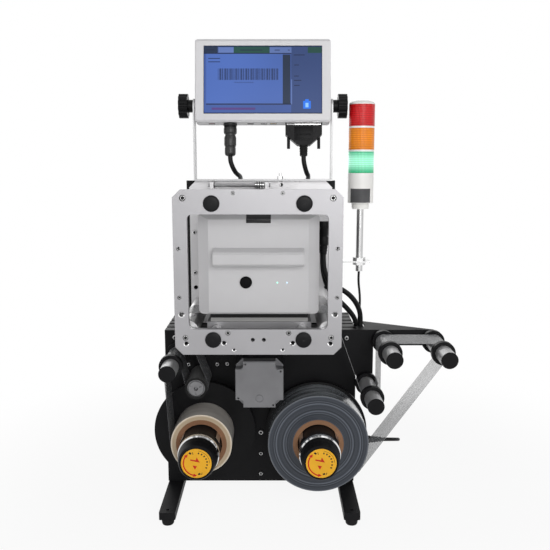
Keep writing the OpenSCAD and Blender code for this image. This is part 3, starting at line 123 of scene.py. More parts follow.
# camera, light and floor
cameraSet = {"place": (28, -1300, 658), "pitch": 80.7, "lens": 45.16, "sensor": 36.0}
lampSet = {
    "front": {"place": (0.35, -2.3, 1.15), "size": 1.4, "power": 30},
    "right": {"place": (1.8, -1.5, 1.2), "size": 1.8, "power": 9},
    "left": {"place": (-1.8, -1.5, 1.0), "size": 1.8, "power": 5},
    "top": {"place": (0.1, 0.4, 2.4), "size": 1.6, "power": 2.5},
    "back": {"place": (-0.4, 2.6, 0.75), "size": 1.8, "power": 12},
}
lampAim = Vector((0, 0, 0.4))
floorSet = {
    "half": 8.0, "drop": 0.0006, "colour": (0.92, 0.92, 0.92), "rough": 0.9,
    "seen": 1.0, "ambient": 0.20, "lift": 0.90, "fade": (0.38, 1.0),
}


def makeCamera(s):
    data = bpy.data.cameras.new("viewCamera")
    data.lens = s["lens"]
    data.sensor_width = s["sensor"]
    cam = bpy.data.objects.new("viewCamera", data)
    cam.location = mm(*s["place"])
    cam.rotation_euler = (radians(s["pitch"]), 0, 0)
    scene.collection.objects.link(cam)
    scene.camera = cam


def makeLamps(lamps):
    for name, s in lamps.items():
        data = bpy.data.lights.new(name + "Lamp", "AREA")
        data.size = s["size"]
        data.energy = s["power"]
        lamp = bpy.data.objects.new(name + "Lamp", data)
        lamp.location = s["place"]
        lamp.rotation_euler = (lampAim - Vector(s["place"])).to_track_quat("-Z", "Y").to_euler()
        scene.collection.objects.link(lamp)


def seenDirectly(tree):  # 1 for rays that show the backdrop itself, straight or mirrored
    path = tree.nodes.new("ShaderNodeLightPath")
    seen = mathOf(tree, "ADD", path.outputs["Is Camera Ray"], path.outputs["Is Glossy Ray"])
    return mathOf(tree, "ADD", seen, path.outputs["Is Transmission Ray"], clamp=True)


def makeWorld(s):
    world = bpy.data.worlds.new("paleRoom")
    world.use_nodes = True
    scene.world = world
    tree = world.node_tree
    tree.nodes.clear()
    out = tree.nodes.new("ShaderNodeOutputWorld")
    room = tree.nodes.new("ShaderNodeBackground")
    shown = tree.nodes.new("ShaderNodeBackground")
    for node, strength in ((room, s["ambient"]), (shown, s["seen"])):
        setInputs(tree, node, {"Color": (1, 1, 1, 1), "Strength": strength})
    tree.links.new(mixShaders(tree, seenDirectly(tree), room, shown), out.inputs[0])


def makeFloor(s):
    bm = bmesh.new()
    bmesh.ops.create_grid(bm, x_segments=2, y_segments=2, size=s["half"])
    bmesh.ops.translate(bm, verts=bm.verts, vec=(0, 0, -s["drop"]))
    mesh = bpy.data.meshes.new("paleFloor")
    bm.to_mesh(mesh)
    bm.free()
    paint, tree, shader, place = freshMaterial("paleFloor")
    setInputs(tree, shader, {"Base Color": (*s["colour"], 1), "Roughness": s["rough"], "Specular IOR Level": 0.0})
    white = tree.nodes.new("ShaderNodeEmission")
    white.inputs["Strength"].default_value = s["seen"]
    # lit floor near the machine, plain white further out
    fade = rangeOf(tree, distanceOf(tree, place), s["lift"], 1.0, *s["fade"], "SMOOTHSTEP")
    share = mathOf(tree, "MULTIPLY", fade, seenDirectly(tree))
    tree.links.new(mixShaders(tree, share, shader, white), tree.nodes["Material Output"].inputs["Surface"])
    mesh.materials.append(paint)
    floor = bpy.data.objects.new("paleFloor", mesh)
    scene.collection.objects.link(floor)


makeCamera(cameraSet)
makeLamps(lampSet)
makeWorld(floorSet)
makeFloor(floorSet)
scene.view_settings.view_transform = "Standard"
print("camera, lamps and floor are in place")

# finishes
finishSet = {
    # base colour, roughness, metal, gloss, patch size, patch depth, grain size, grain height in mm
    "powderBlack": ((0.0080, 0.0080, 0.0088), 0.48, 0.0, 0.10, 9, 0.25, 1500, 0.05),
    "beamBlack": ((0.0034, 0.0034, 0.0038), 0.42, 0.2, 0.05, 14, 0.20, 2600, 0.02),
    "rubberBlack": ((0.011, 0.011, 0.011), 0.72, 0.0, 0.12, 30, 0.30, 1800, 0.06),
    "sleeveBlack": ((0.060, 0.060, 0.060), 0.56, 0.0, 0.30, 30, 0.20, 1800, 0.05),
    "contactBrass": ((0.62, 0.42, 0.12), 0.34, 0.9, 0.5, 30, 0.15, 3000, 0.01),
    "socketRed": ((0.40, 0.030, 0.025), 0.45, 0.0, 0.3, 30, 0.15, 3000, 0.01),
    "mouldedBlack": ((0.0050, 0.0050, 0.0056), 0.40, 0.0, 0.11, 26, 0.25, 2400, 0.03),
    "capBlack": ((0.0046, 0.0046, 0.0054), 0.40, 0.0, 0.14, 26, 0.20, 2400, 0.03),
    "buttonBlack": ((0.0026, 0.0026, 0.0029), 0.50, 0.0, 0.06, 26, 0.20, 2400, 0.03),
    "bootGrey": ((0.011, 0.011, 0.011), 0.34, 0.0, 0.40, 30, 0.20, 1800, 0.05),
    "sheathBlack": ((0.0060, 0.0060, 0.0065), 0.46, 0.0, 0.16, 40, 0.25, 900, 0.05),
    "plateAlloy": ((0.31, 0.306, 0.316), 0.44, 0.95, 0.5, 7, 0.05, 5200, 0.03),
    # a lighter copy of the plate alloy, painted light on the rear plate
    "rearAlloyPaintedLight": ((0.47, 0.464, 0.472), 0.46, 0.9, 0.5, 7, 0.05, 5200, 0.03),
    "rollerAlloy": ((0.46, 0.46, 0.465), 0.36, 0.55, 0.5, 10, 0.12, 3400, 0.02),
    "turnedSteel": ((0.50, 0.50, 0.50), 0.30, 1.0, 0.5, 18, 0.08, 900, 0.004),
    "endSteel": ((0.20, 0.20, 0.205), 0.36, 1.0, 0.5, 30, 0.15, 3000, 0.02),
    "screwSteel": ((0.60, 0.60, 0.60), 0.30, 1.0, 0.5, 60, 0.15, 1200, 0.004),
    # the bright finish below is chrome on the spindle collars and the plug shell, and a painted highlight on the
    # plates' hole chamfers
    "chromeAndPaintedGlint": ((0.78, 0.78, 0.78), 0.14, 1.0, 0.5, 22, 0.05, 3800, 0.01),
    # the near-black finish below is painted shade on the walls of holes, sockets, flutes and recesses
    "paintedHoleShade": ((0.020, 0.020, 0.021), 0.50, 0.6, 0.2, 40, 0.20, 2600, 0.02),
    "castGrey": ((0.165, 0.165, 0.172), 0.48, 0.55, 0.4, 16, 0.12, 2200, 0.06),
    "stackDark": ((0.020, 0.020, 0.022), 0.50, 0.4, 0.2, 16, 0.20, 2200, 0.04),
    "shellGrey": ((0.54, 0.535, 0.545), 0.44, 0.0, 0.35, 8, 0.04, 2600, 0.03),
    "screenShell": ((0.70, 0.695, 0.71), 0.40, 0.0, 0.40, 8, 0.04, 2600, 0.03),
    "towerWhite": ((0.90, 0.89, 0.865), 0.30, 0.0, 0.40, 12, 0.05, 1800, 0.02),
    "headDark": ((0.05, 0.05, 0.055), 0.42, 0.6, 0.3, 20, 0.15, 2600, 0.03),
    "ribbonBlack": ((0.008, 0.008, 0.010), 0.30, 0.0, 0.25, 20, 0.20, 2000, 0.02),
    "bracketSteel": ((0.44, 0.44, 0.444), 0.46, 0.6, 0.5, 12, 0.08, 900, 0.004),
    "discYellow": ((0.80, 0.41, 0.022), 0.42, 0.0, 0.25, 30, 0.05, 2500, 0.01),
    "markRed": ((0.52, 0.018, 0.008), 0.42, 0.0, 0.25, 30, 0.06, 2500, 0.01),
    "markBlack": ((0.010, 0.009, 0.008), 0.45, 0.0, 0.20, 30, 0.10, 2500, 0.01),
    "blankLabel": ((0.014, 0.014, 0.015), 0.40, 0.0, 0.20, 40, 0.15, 2800, 0.01),
    "labelGrey": ((0.075, 0.075, 0.078), 0.45, 0.0, 0.25, 40, 0.15, 2800, 0.01),
}


def noiseOf(tree, vector, scale, detail=3.0, rough=0.55):
    noise = tree.nodes.new("ShaderNodeTexNoise")
    setInputs(tree, noise, {"Vector": vector, "Scale": scale, "Detail": detail, "Roughness": rough})
    return noise.outputs["Fac"]


def rampOf(tree, value, stops):
    ramp = tree.nodes.new("ShaderNodeValToRGB")
    while len(ramp.color_ramp.elements) < len(stops):
        ramp.color_ramp.elements.new(0.5)
    for element, (place, colour) in zip(ramp.color_ramp.elements, stops):
        element.position = place
        element.color = (*colour, 1)
    tree.links.new(value, ramp.inputs["Fac"])
    return ramp.outputs["Color"]


def bumpOf(tree, shader, height, depth):  # depth in mm
    bump = tree.nodes.new("ShaderNodeBump")
    setInputs(tree, bump, {"Strength": 1.0, "Distance": depth / 1000, "Height": height})
    tree.links.new(bump.outputs["Normal"], shader.inputs["Normal"])


def shade(colour, factor):
    return tuple(min(1.0, c * factor) for c in colour)


def makeFinish(name, colour, rough, metal, gloss, patchSize, patchDepth, grainSize, grainHeight):
    mat, tree, shader, place = freshMaterial(name)
    patch = noiseOf(tree, place, patchSize, 4.0)
    setInputs(tree, shader, {
        "Base Color": rampOf(tree, patch, [(0.3, shade(colour, 1 - patchDepth)), (0.7, shade(colour, 1 + patchDepth))]),
        "Roughness": rangeOf(tree, patch, rough - 0.05, rough + 0.06),
        "Metallic": metal, "Specular IOR Level": gloss,
    })
    bumpOf(tree, shader, noiseOf(tree, place, grainSize, 2.0), grainHeight)
    return mat


finishes = {name: makeFinish(name, *values) for name, values in finishSet.items()}


def radiusFrom(tree, place, centre):  # distance from a reel's axis, in metres
    shift = tree.nodes.new("ShaderNodeMapping")
    setInputs(tree, shift, {"Vector": place, "Location": (-centre[0], 0, -centre[2]), "Scale": (1, 0, 1)})
    return distanceOf(tree, shift.outputs["Vector"])


def ringNoise(tree, radius, scale):  # noise that changes only with the radius
    join = tree.nodes.new("ShaderNodeCombineXYZ")
    tree.links.new(radius, join.inputs["X"])
    return noiseOf(tree, join.outputs["Vector"], scale, 5.0, 0.65)


reelSet = {"left": -108, "right": 108, "height": 144}
woundDepth = 0.12  # height of the rings in mm
woundSet = {
    "rollLightEnd": {
        "reel": "left", "rough": 0.42, "gloss": 0.3, "rings": 900,
        "tones": [(0.35, (0.36, 0.265, 0.165)), (0.62, (0.52, 0.42, 0.30))],
        "rim": ((0.0530, 0.0560), (0.78, 0.70, 0.58)),
    },
    "rollDarkEnd": {
        "reel": "right", "rough": 0.34, "gloss": 0.40, "rings": 290,
        "tones": [(0.38, (0.005, 0.007, 0.010)), (0.50, (0.028, 0.034, 0.046)), (0.62, (0.125, 0.140, 0.170))],
        "rim": ((0.0905, 0.0928), (0.15, 0.16, 0.175)),
    },
    "cardLeft": {
        "reel": "left", "rough": 0.75, "gloss": 0.2, "rings": 1100,
        "tones": [(0.35, (0.17, 0.082, 0.043)), (0.65, (0.28, 0.145, 0.080))],
        "rim": ((0.0455, 0.0468), (0.26, 0.14, 0.075)),
    },
    "cardRight": {
        "reel": "right", "rough": 0.75, "gloss": 0.2, "rings": 1100,
        "tones": [(0.35, (0.20, 0.105, 0.058)), (0.65, (0.33, 0.18, 0.10))],
        "rim": ((0.0455, 0.0468), (0.24, 0.125, 0.070)),
    },
}


def makeWound(name, s):  # rings by the radius, and another tone at the outermost turns; on the film rolls that lighter tone is painted light coming through the translucent outer wraps
    mat, tree, shader, place = freshMaterial(name)
    radius = radiusFrom(tree, place, mm(reelSet[s["reel"]], 0, reelSet["height"]))
    rings = ringNoise(tree, radius, s["rings"])
    (start, end), tone = s["rim"]
    edge = rangeOf(tree, radius, 0, 1, start, end)
    setInputs(tree, shader, {
        "Base Color": mixOf(tree, edge, rampOf(tree, rings, s["tones"]), (*tone, 1)),
        "Roughness": rangeOf(tree, rings, s["rough"] - 0.08, s["rough"] + 0.08),
        "Specular IOR Level": s["gloss"],
    })
    bumpOf(tree, shader, rings, woundDepth)
    return mat


finishes.update({name: makeWound(name, s) for name, s in woundSet.items()})

sideBands = {"scale": (14, 90, 14), "depth": 0.25}  # narrow across the web
sideSet = {  # outer wrap of a roll: clear film over the layers below, its lighter tone and bands partly painted highlights
    "rollLightSide": {"low": (0.36, 0.335, 0.31), "high": (0.55, 0.52, 0.485), "rough": 0.34, "coat": 0.3},
    "rollDarkSide": {"low": (0.070, 0.077, 0.085), "high": (0.27, 0.29, 0.31), "rough": 0.22, "coat": 0.8},
}


def makeRollSide(name, s):
    mat, tree, shader, place = freshMaterial(name)
    stretch = tree.nodes.new("ShaderNodeMapping")
    setInputs(tree, stretch, {"Vector": place, "Scale": sideBands["scale"]})
    bands = noiseOf(tree, stretch.outputs["Vector"], 1.0, 4.0)
    setInputs(tree, shader, {
        "Base Color": rampOf(tree, bands, [(0.3, s["low"]), (0.7, s["high"])]),
        "Roughness": rangeOf(tree, bands, s["rough"] - 0.06, s["rough"] + 0.1),
        "Coat Weight": s["coat"], "Coat Roughness": 0.15,
    })
    bumpOf(tree, shader, bands, sideBands["depth"])
    return mat


finishes.update({name: makeRollSide(name, s) for name, s in sideSet.items()})

collarSet = {"groove": 0.0046, "dark": (0.09, 0.09, 0.092), "light": (0.62, 0.62, 0.62), "rough": 0.24, "grain": 900}
padSet = {
    "share": 0.45, "soft": 0.02, "plate": (0.40, 0.395, 0.39), "strip": (0.008, 0.008, 0.009),
    "rough": 0.46, "grain": 700, "gloss": 0.2,
}


def partsOf(tree, vector):
    parts = tree.nodes.new("ShaderNodeSeparateXYZ")
    tree.links.new(vector, parts.inputs[0])
    return parts.outputs


def waveOf(tree, value, rate):  # 0 to 1 wave of a value
    wave = mathOf(tree, "SINE", mathOf(tree, "MULTIPLY", value, rate))
    return mathOf(tree, "MULTIPLY_ADD", wave, 0.5, 0.5)


def makeCollar(s):  # grooves side by side, their dark bands painted shade
    mat, tree, shader, place = freshMaterial("collarSteel")
    wave = waveOf(tree, partsOf(tree, place)["X"], 2 * pi / s["groove"])
    setInputs(tree, shader, {
        "Base Color": rampOf(tree, wave, [(0.42, s["dark"]), (0.50, s["light"])]),
        "Roughness": rangeOf(tree, noiseOf(tree, place, s["grain"]), s["rough"] - 0.05, s["rough"] + 0.08),
        "Metallic": 1.0,
    })
    return mat


def makePad(s):  # pale carrier below, black rubber strip on top that also stands as painted shade for the gap under the print unit
    mat, tree, shader, place = freshMaterial("padRubberAndShade")
    heights = [v.co.z for v in nodes["platen_pad"].data.vertices]
    level = rangeOf(tree, partsOf(tree, place)["Z"], 0, 1, min(heights), max(heights))
    share, soft = s["share"], s["soft"]
    setInputs(tree, shader, {
        "Base Color": rampOf(tree, level, [(share - soft, s["plate"]), (share + soft, s["strip"])]),
        "Roughness": rangeOf(tree, noiseOf(tree, place, s["grain"]), s["rough"] - 0.06, s["rough"] + 0.08),
        "Specular IOR Level": s["gloss"],
    })
    return mat


finishes["collarSteel"] = makeCollar(collarSet)
finishes["padRubberAndShade"] = makePad(padSet)

filmGrain = {"wrinkle": 26, "fleck": 420, "depth": 0.12}
filmSet = {  # a darker copy on the left of the print frame as painted shade, and the plain film after that
    "filmPaintedShade": {"colour": (0.14, 0.142, 0.147), "light": (0.19, 0.192, 0.198), "alpha": 0.60, "rough": 0.26},
    "clearFilm": {"colour": (0.42, 0.423, 0.432), "light": (0.58, 0.583, 0.592), "alpha": 0.45, "rough": 0.26},
}


def makeFilm(name, s):
    mat, tree, shader, place = freshMaterial(name)
    wrinkle = noiseOf(tree, place, filmGrain["wrinkle"], 3.0)
    fleck = noiseOf(tree, place, filmGrain["fleck"], 2.0)
    setInputs(tree, shader, {
        "Base Color": rampOf(tree, wrinkle, [(0.35, s["colour"]), (0.7, s["light"])]),
        "Roughness": rangeOf(tree, fleck, s["rough"] - 0.05, s["rough"] + 0.12),
        "Alpha": s["alpha"],
    })
    bumpOf(tree, shader, wrinkle, filmGrain["depth"])
    return mat


finishes.update({name: makeFilm(name, s) for name, s in filmSet.items()})

lensSet = {
    "lensGreen": {
        "colour": (0.012, 0.46, 0.20), "deep": (0.004, 0.26, 0.10), "glow": 1.0, "light": (0.52, 1.0, 0.80), "low": 637.0,
    },
    # the faint glow of the amber and red lenses is painted light; only the green one is lit
    "lensAmber": {
        "colour": (0.92, 0.31, 0.016), "deep": (0.66, 0.17, 0.004), "glow": 0.20, "light": (0.95, 0.34, 0.02), "low": 681.6,
    },
    "lensRed": {
        "colour": (0.74, 0.012, 0.016), "deep": (0.46, 0.004, 0.006), "glow": 0.15, "light": (0.80, 0.02, 0.03), "low": 726.2,
    },
}
towerSpot = {"x": 196, "y": 66, "lens": 44.6, "ribs": 56.0, "ring": 0.0041, "depth": 0.3, "ends": 0.45}


def makeLens(name, s):  # ribs run up the lens, rings run round it
    mat, tree, shader, place = freshMaterial(name)
    shift = tree.nodes.new("ShaderNodeVectorMath")
    shift.operation = "SUBTRACT"
    shift.inputs[1].default_value = mm(towerSpot["x"], towerSpot["y"], 0)
    tree.links.new(place, shift.inputs[0])
    parts = partsOf(tree, shift.outputs["Vector"])
    ribs = waveOf(tree, mathOf(tree, "ARCTAN2", parts["X"], parts["Y"]), towerSpot["ribs"])
    rings = waveOf(tree, parts["Z"], 2 * pi / towerSpot["ring"])
    both = mathOf(tree, "MULTIPLY", ribs, rings)
    level = rangeOf(tree, parts["Z"], 0, 1, s["low"] / 1000, (s["low"] + towerSpot["lens"]) / 1000)  # foot to top
    # painted glow: brightest at mid-height, dimmer towards the foot and the top
    ends = shade(s["colour"], towerSpot["ends"])
    paintedMidGlow = rampOf(tree, level, [(0.02, ends), (0.38, s["light"]), (0.62, s["light"]), (0.98, ends)])
    grid = rampOf(tree, both, [(0.0, (0.62, 0.62, 0.62)), (0.8, (1.0, 1.0, 1.0))])
    setInputs(tree, shader, {
        "Base Color": rampOf(tree, both, [(0.05, s["deep"]), (0.7, s["colour"])]),
        "Roughness": 0.18, "Specular IOR Level": 0.25,
        "Subsurface Weight": 0.25, "Subsurface Radius": (0.01, 0.01, 0.01),
        "Emission Color": mixOf(tree, 1.0, paintedMidGlow, grid, "MULTIPLY"), "Emission Strength": s["glow"],
    })
    bumpOf(tree, shader, both, towerSpot["depth"])
    return mat


finishes.update({name: makeLens(name, s) for name, s in lensSet.items()})

glowSet = {  # screen picture and indicator lights
    "pictureBlue": ((0.052, 0.105, 0.34), 1.0),
    "pictureField": ((0.072, 0.148, 0.47), 1.0),
    "picturePanel": ((0.038, 0.072, 0.21), 1.0),
    "pictureDark": ((0.016, 0.031, 0.068), 1.0),
    "pictureInk": ((0.010, 0.017, 0.050), 1.0),
    "pictureGreen": ((0.016, 0.075, 0.060), 1.0),
    "picturePale": ((0.12, 0.19, 0.45), 1.0),
    "pictureIcon": ((0.020, 0.19, 0.90), 1.0),
    "pictureIconPale": ((0.30, 0.62, 1.0), 1.0),
    "pictureRed": ((0.090, 0.050, 0.22), 1.0),
    "lightGreen": ((0.45, 1.0, 0.80), 1.6),
    "lightBlue": ((0.60, 0.75, 1.0), 1.6),
}


def makeGlow(name, colour, strength):
    mat, tree, shader, place = freshMaterial(name)
    drift = noiseOf(tree, place, 6, 1.0)
    setInputs(tree, shader, {
        "Emission Color": rampOf(tree, drift, [(0.3, shade(colour, 0.88)), (0.7, shade(colour, 1.08))]),
        "Emission Strength": strength,
        "Base Color": (0.006, 0.006, 0.008, 1), "Roughness": 0.25, "Specular IOR Level": 0.12,
    })
    return mat


finishes.update({name: makeGlow(name, *values) for name, values in glowSet.items()})
print("finishes made:", len(finishes))

# finishes on the solids that stay
dressSet = {
    "powderBlack": ["foot_bars", "main_panel", "roller_arm", "enclosure", "support_plate"],
    "beamBlack": ["top_beam"],
    "rubberBlack": ["rubber_feet", "feed_belt"],
    "padRubberAndShade": ["platen_pad"],
    "endSteel": ["feed_roller"],
    "mouldedBlack": ["unwind_knob", "rewind_knob", "left_hand_knob", "right_hand_knob", "lead_plugs", "screen_plugs"],
    "capBlack": ["rod_caps"],
    "buttonBlack": ["release_button"],
    "plateAlloy": ["platen"],
    "turnedSteel": [
        "left_corner_roller", "right_corner_roller", "roller_axles", "motor_pulley", "bearing_housings", "tie_rods",
        "tower_mount",
    ],
    "stackDark": ["reel_drives"],
    "shellGrey": ["printer_body", "cassette"],
    "headDark": ["print_head"],
    "ribbonBlack": ["supply_spool", "takeup_spool"],
    "bracketSteel": ["screen_bracket"],
    "towerWhite": ["tower_body"],
    "lensGreen": ["green_lens"],
    "lensAmber": ["amber_lens"],
    "lensRed": ["red_lens"],
    "pictureInk": ["screen_glass"],
    "cardLeft": ["unwind_core"],
    "cardRight": ["rewind_core"],
    "sheathBlack": ["screen_leads", "machine_leads", "mains_lead", "lead_coil"],
}


def dress(name, *mats):
    slots = nodes[name].data.materials
    slots.clear()
    for mat in mats:
        slots.append(finishes[mat])


def dressBy(name, mats, choose):  # choose gives the slot from a face's middle, in mm, and its normal
    dress(name, *mats)
    for face in nodes[name].data.polygons:
        face.material_index = choose(backToMm(face.center), face.normal)


for mat, names in dressSet.items():
    for name in names:
        dress(name, mat)

webSet = {"change": -90}  # the film is darker on the left of this: painted shade
dressBy("film_web", ("filmPaintedShade", "clearFilm"), lambda p, n: 0 if p.x < webSet["change"] else 1)

for name, mats in (("unwind_roll", ("rollLightEnd", "rollLightSide")), ("rewind_roll", ("rollDarkEnd", "rollDarkSide"))):
    dressBy(name, mats, lambda p, n: 0 if abs(n.y) > 0.5 else 1)

spindleSet = {"collar": -136.0, "keyReach": 36.7, "keysEnd": -34}
for name, side in (("unwind_spindle", "left"), ("rewind_spindle", "right")):
    def partOfSpindle(p, n, x=reelSet[side]):
        reach = Vector((p.x - x, p.z - reelSet["height"])).length
        if p.y < spindleSet["collar"] + 0.01:
            return 1
        return 2 if reach > spindleSet["keyReach"] and p.y < spindleSet["keysEnd"] else 0
    dressBy(name, ("mouldedBlack", "chromeAndPaintedGlint", "turnedSteel"), partOfSpindle)

rollerSet = {
    "places": {
        "left_roller": (-159.5, 295), "inner_roller": (235, 319.5), "outer_roller": (330, 319.5), "low_roller": (204.5, 236),
    },
    "capStart": -146.9, "reach": 15.1,  # the cap is in front of the first, the rings outside the second
}
for name, (x, z) in rollerSet["places"].items():
    def partOfRoller(p, n, x=x, z=z):
        reach = Vector((p.x - x, p.z - z)).length
        return 1 if reach > rollerSet["reach"] or p.y < rollerSet["capStart"] else 0
    dressBy(name, ("rollerAlloy", "mouldedBlack"), partOfRoller)

dressBy("feed_rubber", ("sleeveBlack", "rubberBlack"), lambda p, n: 1 if n.y < -0.5 else 0)

motorSet = {"capEnd": -90.0}
dressBy("feed_motor", ("castGrey", "stackDark"), lambda p, n: 0 if p.y < motorSet["capEnd"] + 0.01 else 1)

plateSet = {
    "face": -172.0, "rearFace": 62.0, "chamfer": 1.4, "socket": 0.66,  # socket as a share of the screw's head
    "slope": (0.3, 0.95), "under": -0.1,  # normals of a chamfer, and the least upward lean of the chamfer faces that get a painted highlight; the rest stay dull
    # across from the middle on both sides, up, and how wide
    "holes": [(58, 356.75, 6.6), (121.5, 355.75, 6.6), (41, 345, 4.2), (128.5, 406, 8.0), (9.3, 362.75, 6.6)],
    "screws": [
        (122.5, 366.25, 8.4), (51, 374.25, 7.4), (131.5, 517, 5.6), (131.5, 435, 5.6), (40.5, 608, 5.6), (123, 600, 9.6),
    ],
    "rearScrews": [(131.5, 521, 7.4), (131.5, 440, 7.4)],
    "rearHoles": [(40, 614, 7.0), (130.5, 410, 8.0)],
    "panelScrews": [(0, 130, 9), (0, 85.5, 7.4), (0, 43, 7.4), (65, 270, 7), (84.5, 269, 7), (140, 269, 7), (166, 323, 8)],
}


def nearOne(p, spots, spare):  # a point within spare millimetres outside one of the round spots on either side
    return any(Vector((abs(p.x) - x, p.z - z)).length < d / 2 + spare for x, z, d in spots)


def partOfPlate(spots, face):
    def choose(p, n):
        if not nearOne(p, spots, plateSet["chamfer"]) or p.y < face + 0.01:
            return 0
        low, high = plateSet["slope"]
        # hole walls get painted shade; the upward-facing chamfer faces get a painted highlight
        if not low < abs(n.y) < high:
            return 1
        return 2 if n.z > plateSet["under"] else 0
    return choose


frontSpots, rearSpots = plateSet["holes"] + plateSet["screws"], plateSet["rearHoles"] + plateSet["rearScrews"]
dressBy("front_plate", ("plateAlloy", "paintedHoleShade", "chromeAndPaintedGlint"), partOfPlate(frontSpots, plateSet["face"]))
dressBy("rear_plate", ("rearAlloyPaintedLight", "paintedHoleShade", "chromeAndPaintedGlint"), partOfPlate(rearSpots, plateSet["rearFace"]))
allScrews = plateSet["screws"] + plateSet["rearScrews"] + plateSet["panelScrews"]
# the screws' sockets get painted shade
sockets = [(x, z, d * plateSet["socket"]) for x, z, d in allScrews]
dressBy("frame_screws", ("screwSteel", "paintedHoleShade"), lambda p, n: 1 if nearOne(p, sockets, 0) else 0)

adjusterSet = {"y": 39, "z": 614, "rod": 3.2, "flute": 6.85}


def partOfAdjuster(p, n):
    reach = Vector((p.y - adjusterSet["y"], p.z - adjusterSet["z"])).length
    # the flutes' side walls get painted shade; the rod and the collar's outside keep their metal
    return 0 if reach < adjusterSet["rod"] else 2 if reach < adjusterSet["flute"] and abs(n.x) < 0.5 else 1


dressBy("adjusting_screw", ("endSteel", "collarSteel", "paintedHoleShade"), partOfAdjuster)

tiltSet = {"x": 5, "y": 63, "z": 764, "angle": 10}  # the screen's tilt axis, and its lean
portSet = {"ports": (-98, -24, 2, 20), "low": -33.9, "high": -28.7, "half": 6.2, "depth": 4.2}


def partOfHousing(p, n):  # walls of the small recesses in the screen's lower edge, which get painted shade
    c, k = cos(radians(tiltSet["angle"])), sin(radians(tiltSet["angle"]))
    y, z = p.y - tiltSet["y"], p.z - tiltSet["z"]
    depth, rise = y * c - z * k, y * k + z * c
    inside = abs(depth) < portSet["depth"] and portSet["low"] < rise < portSet["high"]
    return 1 if inside and any(abs(p.x - tiltSet["x"] - u) < portSet["half"] for u in portSet["ports"]) else 0


dressBy("screen_housing", ("screenShell", "paintedHoleShade"), partOfHousing)
print("CAD nodes dressed")

# leads: routes in millimetres, drawn as smooth curves that bend towards their points
leadSet = {
    "sheath": {"screen": 9.0, "print": 10.0, "tower": 4.6, "mains": 7.0},
    "steps": {"screen": 3, "print": 4, "tower": 4, "mains": 4, "tail": 3},  # points between two route points
    "screen": {"Left": (-63, -41, -40), "Right": (78, 94, 66)},  # across at the plug, over the plates and at the rear end
    "screenStart": (-96.6, -106),  # down from the tilt axis, where the lead leaves its plug
    "screenOver": [  # share of the way across to the plates, back, up
        (0.3, 46.5, 646), (0.6, 55, 636.5), (0.85, 65, 633), (1, 84, 630), (1, 98, 625), (1, 107.5, 607.5), (1, 109, 586),
    ],
    "screenDown": [  # share of the way across to the rear end, back, up
        (0.5, 124, 562), (1, 142, 540), (1, 150, 516), (1, 144, 492), (1, 128, 480), (1, 114, 480), (1, 104.6, 480),
    ],
    "bend": ((0, 60, 671), (0, 59, 618)),  # follows the screen above the first point, still below the second
    "print": {
        "Front": [
            (120, 0, 484.8), (120, 0, 468.8), (123, 3, 446.8), (136, 9, 424.8), (158, 18, 414.8), (180.5, 26, 396.8),
            (194.5, 32, 372.8), (197.5, 36, 355), (197.5, 36, 333.6),
        ],
        "Rear": [
            (120, 22, 484.8), (120, 22, 466.8), (122, 24, 442.8), (130, 29, 417.8), (144, 36, 396.8), (162, 43, 380.8),
            (178.5, 48, 362.8), (188.5, 50, 348), (191.5, 50, 334.2),
        ],
    },
    "tower": [(196, 66, 442.4), (195, 66, 419), (200.5, 64, 387), (196.5, 60, 347), (196.5, 60, 333.6)],
    "mains": [
        (233.1, 40, 98), (246.5, 40, 98), (266.5, 42, 97), (284.5, 56, 91), (288.5, 82, 80), (274.5, 110, 68), (246.5, 138, 56),
        (208.5, 170, 38), (174, 199, 17), (144, 215, 5), (118, 216, 4), (90.6, 216, 4),
    ],
    "coil": {"x": 90, "y": 256, "radius": 40, "turns": 5, "step": 7.8, "low": 4.0, "perTurn": 24},
    "tail": {  # from the coil's end: left, back, and the share of the way down
        "low": 11, "route": [(-0.6, 0, 0), (-22, 0.5, 0), (-64, 9, 0.45), (-106, 21, 0.95), (-140, 23, 1)],
    },
}


def fromTilt(u, y, v):  # a point drawn around the screen's tilt axis, in mm
    c, s = cos(radians(tiltSet["angle"])), sin(radians(tiltSet["angle"]))
    return Vector((tiltSet["x"] + u, tiltSet["y"] + y * c + v * s, tiltSet["z"] - y * s + v * c))


def smoothed(route, steps):  # curve guided by the points, the same as the solids have
    points = [Vector(p) for p in route]
    full = [2 * points[0] - points[1]] + points + [2 * points[-1] - points[-2]]
    line = []
    for a, b, c, d in zip(full, full[1:], full[2:], full[3:]):
        for k in range(steps):
            t = k / steps
            pull = (1 - t) ** 3, 3 * t ** 3 - 6 * t * t + 4, 1 + 3 * t + 3 * t * t - 3 * t ** 3, t ** 3
            line.append((pull[0] * a + pull[1] * b + pull[2] * c + pull[3] * d) / 6)
    return line + [points[-1]]


def lengthOf(line):
    return sum((b - a).length for a, b in zip(line, line[1:]))


def makeLead(name, line, diameter):  # round sheath along a line in mm
    curve = bpy.data.curves.new(name, "CURVE")
    curve.dimensions = "3D"
    curve.bevel_depth = diameter / 2000
    curve.bevel_resolution = 5
    curve.use_fill_caps = True
    spline = curve.splines.new("POLY")
    spline.points.add(len(line) - 1)
    for point, place in zip(spline.points, line):
        point.co = (*mm(*place), 1)
    drawn = bpy.data.objects.new(name + "Line", curve)
    scene.collection.objects.link(drawn)
    bpy.context.view_layer.update()
    mesh = bpy.data.meshes.new_from_object(drawn.evaluated_get(bpy.context.evaluated_depsgraph_get()))
    bpy.data.objects.remove(drawn)
    mesh.name = name
    mesh.materials.clear()
    mesh.materials.append(finishes["sheathBlack"])
    mesh.shade_smooth()
    lead = bpy.data.objects.new(name, mesh)
    scene.collection.objects.link(lead)
    return lead


def declareLead(lead, line):
    path = [mm(*p) for p in line]
    print(lead.name, "is", round(lengthOf(path), 3), "m long")


